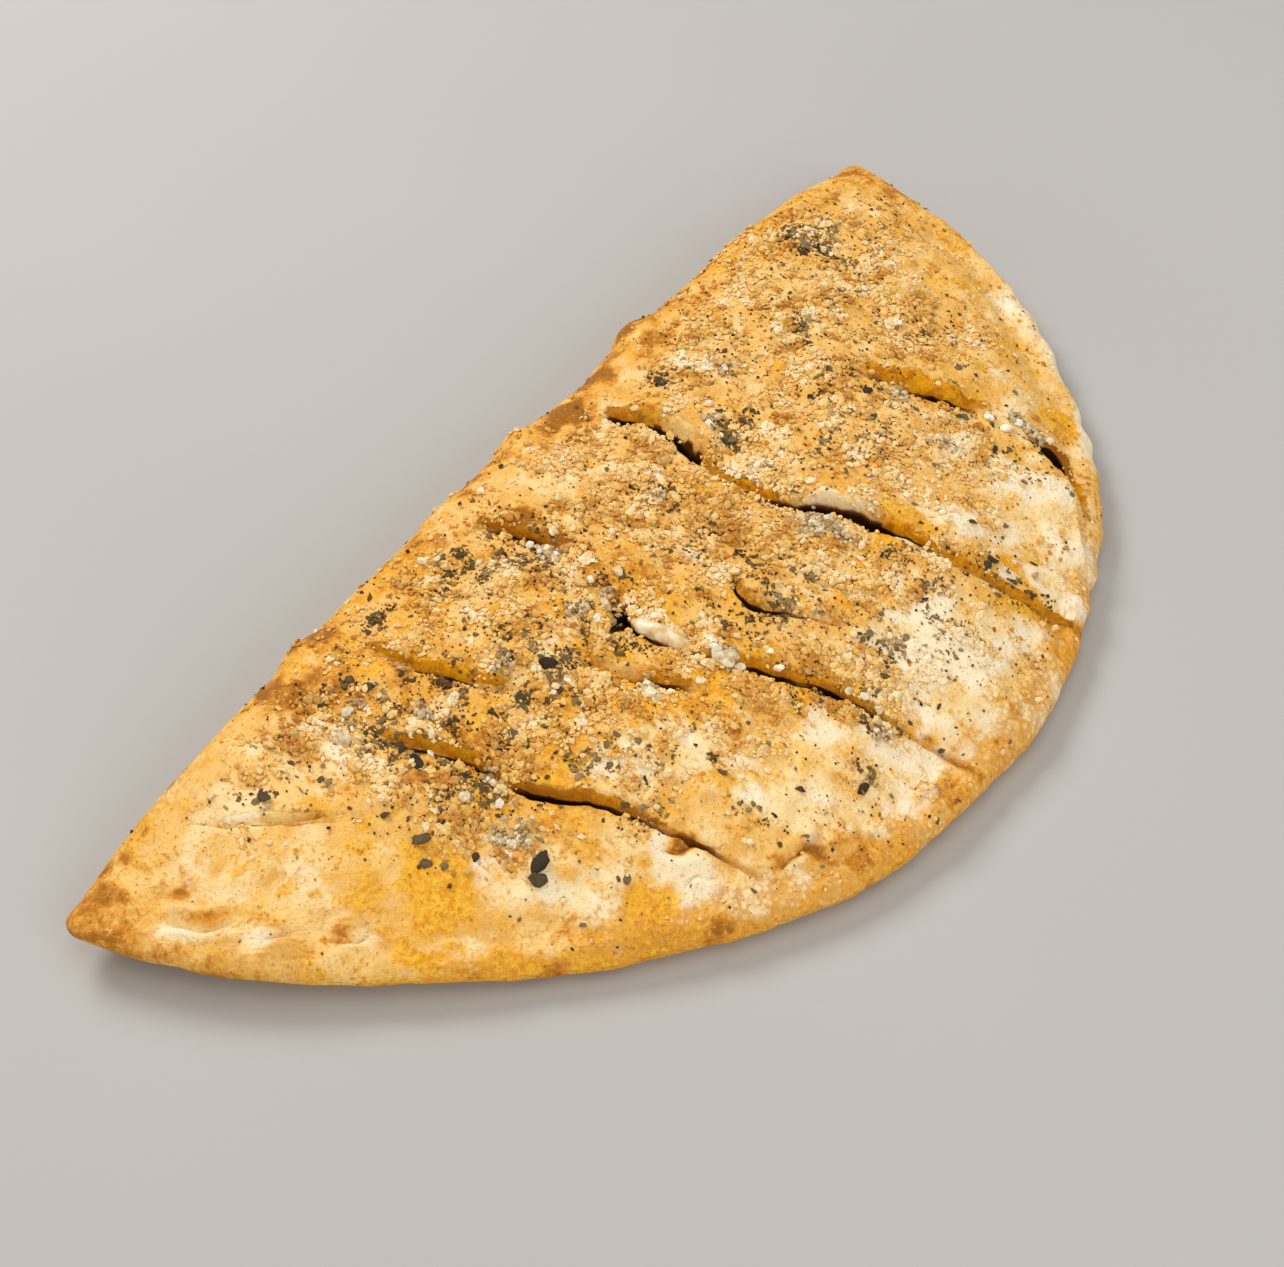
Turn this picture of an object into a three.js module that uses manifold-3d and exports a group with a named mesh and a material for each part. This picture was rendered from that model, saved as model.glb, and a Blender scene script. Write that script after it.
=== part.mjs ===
// A baked calzone: a round of dough folded over its filling into a half moon,
// sealed along the curved side, with slashes across the top that show the filling.
// Millimetres, +Z up. +X runs along the folded side, the fold is on the +Y side and
// the curved sealed rim on the -Y side. The origin is at the middle of the base.
import * as THREE from 'three';
import Module from 'manifold-3d';

// ---- sizes of the whole ---------------------------------------------------
const HALF_LENGTH = 173.6;      // fold line, from the middle to each tip
const ARC_RADIUS = 174.7;       // the sealed rim is an arc of this radius
const ARC_CENTRE_Y = 20.7;      // its centre, measured from the fold line
const LEFT_FLATTEN = 9.5;       // how much the rim is pulled in near the -X tip
const LEFT_ANGLE = -0.86;       // direction of that flattening, in radians
const LEFT_SPREAD = 0.40;
const RIM_WAVE = 0.6;           // the pressed rim runs in and out by this much
const RIM_WAVES = 12.0;         // how many times over a radian of the arc
const FOLD_BULGE = 7.5;         // the fold swells out past the straight line
const TIP_ROUND = 7.0;          // plan radius of the two tips
const TIP_LIFT = 6.0;           // the tips curl up from the surface
const LIFT_FROM = 100.0;        // the curl starts this far from the middle
const BASE_SHIFT_Y = 72.86;     // moves the outline's middle to the origin

// ---- heights --------------------------------------------------------------
const RIM_THICK = 9.0;          // sealed rim
const RIM_MID = 4.6;            // height of the rim's outermost line
const FOLD_MID = 11.0;          // height of the fold's outermost line
const FOLD_THICK = 26.0;        // height of the fold's shoulder
const DOME_RISE = 23.5;         // rise from the rim to the crown
const DOME_RUN = 36.0;          // how fast the crown rises from the rim
const CROWN_RISE = 7.0;         // rise from the fold's shoulder to the crown
const CROWN_RUN = 30.0;
const RIM_ROUND = 5.0;          // plan depth of the rounded rim edge
const FOLD_ROUND = 14.0;        // plan depth of the rounded fold side
const SOLE_ROUND_RIM = 5.0;     // rounding under the rim
const SOLE_ROUND_FOLD = 7.0;    // rounding under the fold

// ---- crust and filling ----------------------------------------------------
const CRUST_TOP = 5.2;          // thickness of the dough above the filling
const CRUST_SOLE = 4.2;         // thickness of the dough below it
const SEAL_WIDTH = 17.0;        // solid dough along the sealed rim
const FOLD_WALL = 8.0;          // dough at the fold
const FILL_END = 150.0;         // the filling stops this far from the middle
const CLEAR = 0.35;             // gap between crust and filling

// ---- slashes across the top: centre line from fold side to rim side -------
// path: plan points; open: the part of Y where the slash goes through the crust
const SLASHES = [
  { path: [[-95, -28], [-91, -45], [-89, -62], [-86, -76], [-79, -96], [-74, -112], [-70, -126]],
    from: -34, to: -114, width: 2.8, lip: 2.4, dip: 1.0 },
  { path: [[-76, -14], [-73, -28], [-71, -40], [-65, -56], [-61, -70]],
    from: -20, to: -52, width: 2.2, lip: 1.8, dip: 0.6 },
  { path: [[-28, -12], [-26, -30], [-31, -50], [-33, -66], [-31, -82], [-25, -98], [-19, -118], [-15, -138]],
    from: -22, to: -122, width: 3.0, lip: 2.8, dip: 1.2 },
  { path: [[27, -10], [26, -28], [22, -48], [20, -62], [24, -80], [31, -98], [36, -120], [44, -144]],
    from: -18, to: -124, width: 3.4, lip: 3.4, dip: 1.4 },
  { path: [[74, -52], [78, -64], [82, -80], [88, -92], [92, -104], [90, -118]],
    from: -58, to: -114, width: 3.2, lip: 3.0, dip: 1.2 },
];
const LIP_RUN = 13.0;           // a lip sinks back into the crown over this run
const DIP_RUN = 9.0;

// ---- mesh steps -----------------------------------------------------------
const OUT_ACROSS_TOP = 24;
const OUT_ACROSS_SOLE = 12;
const IN_ACROSS_TOP = 12;
const IN_ACROSS_SOLE = 8;

const clamp = (v, a, b) => Math.min(Math.max(v, a), b);

// A smooth curve x(y) through a slash's points, held constant past both ends.
function slashX(path, y) {
  const p = path.map(([px, py]) => [py, px]).sort((a, b) => a[0] - b[0]);
  if (y <= p[0][0]) return p[0][1];
  if (y >= p[p.length - 1][0]) return p[p.length - 1][1];
  let i = 0;
  while (y > p[i + 1][0]) i += 1;
  const slope = (k) => {
    if (k <= 0 || k >= p.length - 1) return 0;
    return (p[k + 1][1] - p[k - 1][1]) / (p[k + 1][0] - p[k - 1][0]);
  };
  const h = p[i + 1][0] - p[i][0];
  const t = (y - p[i][0]) / h;
  const t2 = t * t;
  const t3 = t2 * t;
  return (2 * t3 - 3 * t2 + 1) * p[i][1] + (t3 - 2 * t2 + t) * h * slope(i)
    + (-2 * t3 + 3 * t2) * p[i + 1][1] + (t3 - t2) * h * slope(i + 1);
}

// ---- outline --------------------------------------------------------------
const foldY = (x) => 1.0 + FOLD_BULGE * (1 - clamp(Math.abs(x) / HALF_LENGTH, 0, 1) ** 2.4);
function rimGap(x, y) {                      // distance in from the sealed rim
  const a = Math.atan2(x, ARC_CENTRE_Y - y);
  const r = ARC_RADIUS - LEFT_FLATTEN * Math.exp(-(((a - LEFT_ANGLE) / LEFT_SPREAD) ** 2))
    + RIM_WAVE * Math.cos(a) * Math.sin(RIM_WAVES * a + 1.3 * Math.sin(2.1 * a));
  return r - Math.hypot(x, y - ARC_CENTRE_Y);
}
const foldGap = (x, y) => foldY(x) - y;      // distance in from the fold
function edgeGap(x, y) {                     // distance in from the outline, tips rounded
  const a = rimGap(x, y);
  const b = foldGap(x, y);
  if (a >= TIP_ROUND && b >= TIP_ROUND) return Math.min(a, b);
  return TIP_ROUND - Math.hypot(Math.max(TIP_ROUND - a, 0), Math.max(TIP_ROUND - b, 0));
}

function bisect(f, inside, outside) {
  let a = inside;
  let b = outside;
  for (let i = 0; i < 40; i += 1) {
    const m = (a + b) / 2;
    if (f(m) > 0) a = m; else b = m;
  }
  return a;
}
// The chord of the outline at x: [rim side, fold side].
function chord(x) {
  const y0 = -8;                              // a line inside the outline all along
  const f = (y) => edgeGap(x, y);
  return [bisect(f, y0, -170), bisect(f, y0, 30)];
}

// ---- heights --------------------------------------------------------------
const tipLift = (x) => TIP_LIFT * clamp((Math.abs(x) - LIFT_FROM) / 72, 0, 1.3) ** 2;
const foldShare = (x, y) => {
  const a = Math.max(rimGap(x, y), 0);
  const b = Math.max(foldGap(x, y), 0);
  return a / Math.max(a + b, 1e-6);
};
function crown(x, y) {                       // the dome before its edges are rounded
  const a = Math.max(rimGap(x, y), 0);
  const b = Math.max(foldGap(x, y), 0);
  const fromRim = RIM_THICK + DOME_RISE * (1 - Math.exp(-Math.max(a - 8, 0) / DOME_RUN));
  const fromFold = FOLD_THICK + CROWN_RISE * (1 - Math.exp(-Math.max(b - 15, 0) / CROWN_RUN));
  const k = 2.5;
  return -k * Math.log(Math.exp(-fromRim / k) + Math.exp(-fromFold / k));
}
function slashRelief(x, y) {                 // raised lips on +X sides, dips on -X sides
  let z = 0;
  for (const s of SLASHES) {
    const ys = s.path.map((p) => p[1]);
    const top = Math.max(...ys);
    const low = Math.min(...ys);
    const t = clamp((top - y) / (top - low), 0, 1);
    const fade = Math.sin(Math.PI * t) ** 0.6;
    const d = x - slashX(s.path, y);
    z += fade * (d > 0.2 ? s.lip * Math.exp(-d / LIP_RUN) : -s.dip * Math.exp(Math.min(d, 0) / DIP_RUN));
  }
  return z;
}
function lumps(x, y) {                       // gentle unevenness of baked dough
  return 0.7 * Math.sin(x / 17.0 + 0.6) * Math.sin(y / 21.0 + 1.1)
    + 0.45 * Math.sin(x / 9.5 - y / 13.0 + 2.0);
}
const midHeight = (x, y) => {
  const f = foldShare(x, y);
  return Math.min(RIM_MID + (FOLD_MID - RIM_MID) * f, 0.5 * crown(x, y));
};
function topHeight(x, y) {
  const f = foldShare(x, y);
  const e = Math.max(edgeGap(x, y), 0);
  const r = RIM_ROUND + (FOLD_ROUND - RIM_ROUND) * f;
  const q = Math.sqrt(Math.max(1 - (1 - Math.min(e / r, 1)) ** 2, 0));
  const inside = clamp((e - 6) / 14, 0, 1);
  const z = crown(x, y) + inside * (slashRelief(x, y) + lumps(x, y));
  const m = midHeight(x, y);
  return m + (z - m) * q + tipLift(x);
}
function soleHeight(x, y) {
  const f = foldShare(x, y);
  const e = Math.max(edgeGap(x, y), 0);
  const r = SOLE_ROUND_RIM + (SOLE_ROUND_FOLD - SOLE_ROUND_RIM) * f;
  const q = Math.sqrt(Math.max(1 - (1 - Math.min(e / r, 1)) ** 2, 0));
  return midHeight(x, y) * (1 - q) + tipLift(x);
}

// ---- lofted closed bodies -------------------------------------------------
// Lines of constant u follow the slashes, so that lips stay crisp on a coarse mesh.
function lineX(u, y, ends) {
  // u counts slashes: 0 is the -X end, 1 the first slash, ... N + 1 the +X end
  const n = SLASHES.length;
  const at = (k) => {
    if (k <= 0) return ends[0];
    if (k >= n + 1) return ends[1];
    return slashX(SLASHES[k - 1].path, y);
  };
  const k = clamp(Math.floor(u), 0, n);
  const t = u - k;
  return at(k) * (1 - t) + at(k + 1) * t;
}
function loft(us, ends, span, topZ, soleZ, nTop, nSole) {
  const place = (u, v) => {                   // v: 0 rim side .. 1 fold side
    let x = lineX(u, -70, ends);
    let y = -70;
    for (let i = 0; i < 24; i += 1) {           // settles on the line of constant u
      const [a, b] = span(x);
      y = a + (b - a) * (1 - Math.cos(Math.PI * v)) / 2;
      x = 0.4 * x + 0.6 * clamp(lineX(u, y, ends), ends[0], ends[1]);
    }
    const [a, b] = span(x);
    return [x, a + (b - a) * (1 - Math.cos(Math.PI * v)) / 2];
  };
  const rows = [];
  for (const u of us) {
    const row = [];
    for (let j = 0; j <= nTop; j += 1) {       // over the top, rim to fold
      const [x, y] = place(u, j / nTop);
      row.push([x, y, topZ(x, y)]);
    }
    for (let j = nSole - 1; j > 0; j -= 1) {   // back under the sole
      const [x, y] = place(u, j / nSole);
      row.push([x, y, soleZ(x, y)]);
    }
    rows.push(row);
  }
  const m = rows[0].length;
  const pos = rows.flat().flat();
  const idx = [];
  for (let i = 0; i + 1 < rows.length; i += 1) {
    for (let j = 0; j < m; j += 1) {
      const a = i * m + j;
      const b = i * m + ((j + 1) % m);
      const c = (i + 1) * m + j;
      const d = (i + 1) * m + ((j + 1) % m);
      idx.push(a, c, b, b, c, d);
    }
  }
  for (const [i, flip] of [[0, false], [rows.length - 1, true]]) {
    const mid = [0, 1, 2].map((k) => rows[i].reduce((s, p) => s + p[k], 0) / m);
    const c = pos.length / 3;
    pos.push(...mid);
    for (let j = 0; j < m; j += 1) {
      const a = i * m + j;
      const b = i * m + ((j + 1) % m);
      if (flip) idx.push(b, a, c); else idx.push(a, b, c);
    }
  }
  return { pos, idx };
}

function stations(parts, ends) {
  // parts: steps in each gap between slashes; extra lines hug each slash
  const us = [];
  for (let k = 0; k < parts.length; k += 1) {
    for (let i = 0; i < parts[k]; i += 1) {
      let t = i / parts[k];
      if (k === 0) t = 1 - Math.cos((Math.PI / 2) * t);       // denser towards the tip
      if (k === parts.length - 1) t = Math.sin((Math.PI / 2) * t);
      us.push(k + t);
    }
    if (ends && k > 0) us.push(k + 0.012);
  }
  us.push(parts.length);
  return us.sort((a, b) => a - b);
}

const wasm = await Module();
wasm.setup();
function solid({ pos, idx }) {
  return new wasm.Manifold(new wasm.Mesh({
    numProp: 3,
    vertProperties: new Float32Array(pos),
    triVerts: new Uint32Array(idx),
  }));
}

// ---- outer body of dough --------------------------------------------------
const outerEnds = [-HALF_LENGTH + 1.6, HALF_LENGTH - 1.6];
const outer = solid(loft(
  stations([9, 3, 5, 6, 6, 9], true), outerEnds, chord, topHeight, soleHeight,
  OUT_ACROSS_TOP, OUT_ACROSS_SOLE,
));

// ---- room for the filling -------------------------------------------------
const roomEnds = [-FILL_END, FILL_END];
function roomSpan(x) {
  const [a, b] = chord(x);
  const end = clamp((FILL_END - Math.abs(x)) / 40, 0, 1);
  const squeeze = Math.max(Math.sqrt(1 - (1 - end) ** 2), 0.16);   // rounds the two ends
  const lo = a + SEAL_WIDTH;
  const hi = b - FOLD_WALL;
  const mid = lo + (hi - lo) * 0.62;
  return [mid + (lo - mid) * squeeze, mid + (hi - mid) * squeeze];
}
const roomSole = (x) => CRUST_SOLE + tipLift(x);
function roomTop(x, y) {
  const f = foldShare(x, y);
  const wall = SEAL_WIDTH * (1 - f) + FOLD_WALL * f;
  const t = clamp((edgeGap(x, y) - wall) / 10, 0, 1);
  const q = Math.sqrt(1 - (1 - t) ** 2);
  const rise = crown(x, y) - CRUST_TOP - CRUST_SOLE;
  return roomSole(x) + Math.max(rise * (0.35 + 0.65 * q), 2.4);
}
const room = loft(stations([5, 2, 3, 4, 3, 5], false), roomEnds, roomSpan, roomTop, roomSole,
  IN_ACROSS_TOP, IN_ACROSS_SOLE);

// The same body with every face set in by a gap.
function setIn({ pos, idx }, gap) {
  const n = pos.length / 3;
  const faceNormals = [];
  const around = Array.from({ length: n }, () => []);
  for (let i = 0; i < idx.length; i += 3) {
    const [a, b, c] = [0, 1, 2].map((k) => new THREE.Vector3().fromArray(pos, idx[i + k] * 3));
    const normal = b.clone().sub(a).cross(c.clone().sub(a)).normalize();
    for (let k = 0; k < 3; k += 1) around[idx[i + k]].push(faceNormals.length);
    faceNormals.push(normal);
  }
  const out = [];
  for (let v = 0; v < n; v += 1) {
    const mean = new THREE.Vector3();
    for (const f of around[v]) mean.add(faceNormals[f]);
    mean.normalize();
    let most = 1;                               // keeps the gap on the steepest face too
    for (const f of around[v]) most = Math.min(most, Math.max(mean.dot(faceNormals[f]), 0.35));
    const p = new THREE.Vector3().fromArray(pos, v * 3).addScaledVector(mean, -gap / most);
    out.push(p.x, p.y, p.z);
  }
  return { pos: out, idx };
}

// ---- slash cutters --------------------------------------------------------
// A thin blade that follows the slash, leans under the raised lip and tapers to its ends.
function blade(s) {
  const n = 12;
  const pos = [];
  const idx = [];
  for (let i = 0; i <= n; i += 1) {
    const t = i / n;
    const y = s.from + (s.to - s.from) * t;
    const x = slashX(s.path, y);
    const w = (s.width / 2) * (0.3 + 0.7 * Math.sin(Math.PI * t) ** 0.5);
    const top = crown(x, y) + tipLift(x) + 9;
    const low = crown(x, y) + tipLift(x) - CRUST_TOP - 1.6;
    const lean = 0.18 * (top - low);
    pos.push(x - w - lean * 0.5, y, top, x + w - lean * 0.5, y, top,
      x + w + lean * 0.5, y, low, x - w + lean * 0.5, y, low);
  }
  for (let i = 0; i < n; i += 1) {
    for (let j = 0; j < 4; j += 1) {
      const a = i * 4 + j;
      const b = i * 4 + ((j + 1) % 4);
      const c = a + 4;
      const d = b + 4;
      idx.push(a, c, b, b, c, d);
    }
  }
  const e = n * 4;
  idx.push(0, 1, 2, 0, 2, 3, e, e + 2, e + 1, e, e + 3, e + 2);
  return solid({ pos, idx });
}

let crustSolid = outer.subtract(solid(room));
for (const s of SLASHES) crustSolid = crustSolid.subtract(blade(s));
const fillingSolid = solid(setIn(room, CLEAR));

function toGeometry(man) {
  const { vertProperties, triVerts, numProp } = man.getMesh();
  const p = [];
  for (let i = 0; i < vertProperties.length; i += numProp) {
    p.push(vertProperties[i], vertProperties[i + 1], vertProperties[i + 2]);
  }
  const g = new THREE.BufferGeometry();
  g.setAttribute('position', new THREE.Float32BufferAttribute(p, 3));
  g.setIndex([...triVerts]);
  g.computeVertexNormals();
  return g;
}

const group = new THREE.Group();

const crust = new THREE.Mesh(toGeometry(crustSolid),
  new THREE.MeshStandardMaterial({ color: 0xd9a558, roughness: 0.72, metalness: 0 }));
crust.name = 'crust';
crust.position.y = BASE_SHIFT_Y;
group.add(crust);

const filling = new THREE.Mesh(toGeometry(fillingSolid),
  new THREE.MeshStandardMaterial({ color: 0x8a5a2c, roughness: 0.6, metalness: 0 }));
filling.name = 'filling';
filling.position.y = BASE_SHIFT_Y;
group.add(filling);

export default group;
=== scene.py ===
import math

import bmesh
import bpy
import numpy as np
from mathutils import Matrix, Vector
from mathutils.bvhtree import BVHTree
from mathutils.kdtree import KDTree


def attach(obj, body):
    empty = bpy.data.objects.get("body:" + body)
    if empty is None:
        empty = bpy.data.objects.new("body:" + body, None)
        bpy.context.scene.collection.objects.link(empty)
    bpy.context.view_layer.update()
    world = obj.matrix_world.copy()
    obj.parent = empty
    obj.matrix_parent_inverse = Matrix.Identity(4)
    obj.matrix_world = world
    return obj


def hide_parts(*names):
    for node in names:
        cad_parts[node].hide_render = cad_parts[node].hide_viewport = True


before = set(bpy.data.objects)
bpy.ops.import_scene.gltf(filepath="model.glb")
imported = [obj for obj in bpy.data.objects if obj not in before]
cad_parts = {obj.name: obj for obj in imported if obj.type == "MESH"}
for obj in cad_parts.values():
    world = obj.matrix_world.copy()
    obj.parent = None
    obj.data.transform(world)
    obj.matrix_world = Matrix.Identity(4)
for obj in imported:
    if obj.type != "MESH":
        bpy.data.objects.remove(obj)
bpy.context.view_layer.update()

# All shape code works in millimetres in the "fold frame": x along the fold, y = 0 on the
# straight fold line, y < 0 towards the sealed rim, z up from the base. place() moves it
# into the part's frame, in metres.
SHIFT_Y = 72.86


def place(p):
    p = np.asarray(p, float)
    return np.stack([p[..., 0], p[..., 1] + SHIFT_Y, p[..., 2]], -1) * 0.001


# ---------------------------------------------------------------------------------------
# noise
# ---------------------------------------------------------------------------------------
def _hash(i, j, k, seed):
    h = (i * 374761393 + j * 668265263 + k * 2147483647 + seed * 1274126177) & 0xFFFFFFFF
    h = ((h ^ (h >> 13)) * 1274126177) & 0xFFFFFFFF
    h = ((h ^ (h >> 16)) * 2246822519) & 0xFFFFFFFF
    return ((h ^ (h >> 15)) & 0xFFFFFF) / float(0xFFFFFF)


def noise3(x, y, z, seed=0):
    """Smooth value noise, about -1 to 1."""
    x, y, z = np.broadcast_arrays(np.asarray(x, float), np.asarray(y, float), np.asarray(z, float))
    i, j, k = np.floor(x), np.floor(y), np.floor(z)
    u, v, w = x - i, y - j, z - k
    i, j, k = i.astype(np.int64), j.astype(np.int64), k.astype(np.int64)
    u, v, w = (t * t * t * (t * (t * 6 - 15) + 10) for t in (u, v, w))
    out = 0.0
    flat = z.size and float(z.max()) == float(z.min())
    for a in (0, 1):
        for b in (0, 1):
            for c in ((0,) if flat else (0, 1)):
                weight = (u if a else 1 - u) * (v if b else 1 - v)
                if not flat:
                    weight = weight * (w if c else 1 - w)
                out = out + weight * _hash(i + a, j + b, k + c, seed)
    return out * 2 - 1


def fbm(x, y, z=0.0, seed=0, octaves=3, gain=0.5):
    total, amp, norm = 0.0, 1.0, 0.0
    for o in range(octaves):
        f = 2.03 ** o
        total = total + amp * noise3(x * f + 7.3 * o, y * f - 3.1 * o, z * f + 1.7 * o, seed + 17 * o)
        norm += amp
        amp *= gain
    return total / norm * 1.6


def smooth(a, b, x):
    t = np.clip((x - a) / (b - a), 0, 1)
    return t * t * (3 - 2 * t)


def softplus(x, w):
    return w * np.logaddexp(0, x / w)


# ---------------------------------------------------------------------------------------
# the half moon: the same sizes as the CAD part, with the edges' small wander added
# ---------------------------------------------------------------------------------------
HALF_LENGTH, ARC_RADIUS, ARC_CENTRE_Y = 173.9, 174.7, 20.7
LEFT_FLATTEN, LEFT_ANGLE, LEFT_SPREAD = 9.5, -0.86, 0.40
FOLD_BULGE, TIP_ROUND, TIP_LIFT, LIFT_FROM = 7.5, 5.0, 6.0, 100.0
RIM_THICK, RIM_MID, FOLD_MID, FOLD_THICK = 9.0, 4.6, 11.0, 26.0
DOME_RISE, DOME_RUN, CROWN_RISE, CROWN_RUN = 23.5, 36.0, 7.0, 30.0
RIM_ROUND, FOLD_ROUND, SOLE_ROUND_RIM, SOLE_ROUND_FOLD = 5.0, 14.0, 5.0, 7.0
CRUST_TOP, CRUST_SOLE, SEAL_WIDTH, FOLD_WALL, FILL_END = 5.2, 4.2, 17.0, 8.0, 150.0

# knobs of browned dough on the fold: x, half width, how far they stand out
KNOBS = [(64.0, 5.5, 3.0), (-24.0, 7.0, 1.4), (-82.0, 6.0, 1.6), (112.0, 12.0, 0.9), (10.0, 5.0, 2.2),
         (37.0, 13.0, -2.4)]


def fold_y(x):
    out = 0.5 * noise3(x / 24.0, 0.5, 0.5, 5) + 0.25 * noise3(x / 9.0, 2.5, 0.5, 6)
    for x0, w, h in KNOBS:
        out = out + h * np.exp(-((x - x0) / w) ** 2)
    out = out * smooth(HALF_LENGTH, HALF_LENGTH - 22, np.abs(x))
    return 1.0 + FOLD_BULGE * (1 - np.clip(np.abs(x) / HALF_LENGTH, 0, 1) ** 2.4) + out


def rim_edge(a):
    """The pressed edge runs in and out: long waves, and short scallops on the +X half."""
    s = a * ARC_RADIUS
    out = 0.6 * np.cos(a) * np.sin(12 * a + 1.3 * np.sin(2.1 * a))
    out = out + 0.5 * smooth(0.10, 0.40, a) * smooth(1.15, 0.85, a) * np.sin(s / 2.6 + 1.4 * np.sin(s / 9.0))
    out = out + 0.35 * noise3(s / 7.0, 3.3, 0.2, 8) + 0.14 * noise3(s / 2.6, 9.3, 0.2, 9)
    return out * smooth(1.52, 1.30, np.abs(a))


def rim_gap(x, y):
    a = np.arctan2(x, ARC_CENTRE_Y - y)
    r = ARC_RADIUS - LEFT_FLATTEN * np.exp(-((a - LEFT_ANGLE) / LEFT_SPREAD) ** 2)
    return r + rim_edge(a) - np.hypot(x, y - ARC_CENTRE_Y)


def fold_gap(x, y):
    return fold_y(x) - y


def edge_gap(x, y, a=None, b=None):
    a = rim_gap(x, y) if a is None else a
    b = fold_gap(x, y) if b is None else b
    r = TIP_ROUND
    rounded = r - np.hypot(np.maximum(r - a, 0), np.maximum(r - b, 0))
    return np.where((a >= r) & (b >= r), np.minimum(a, b), rounded)


def tip_lift(x):
    return TIP_LIFT * np.clip((np.abs(x) - LIFT_FROM) / 72, 0, 1.3) ** 2


def crown(x, y, a=None, b=None, band=8.0):
    a = np.maximum(rim_gap(x, y) if a is None else a, 0)
    b = np.maximum(fold_gap(x, y) if b is None else b, 0)
    from_rim = RIM_THICK + DOME_RISE * (1 - np.exp(-softplus(a - band, 1.7) / DOME_RUN))
    from_fold = FOLD_THICK + CROWN_RISE * (1 - np.exp(-np.maximum(b - 15, 0) / CROWN_RUN))
    k = 2.5
    return -k * np.log(np.exp(-from_rim / k) + np.exp(-from_fold / k))


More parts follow.
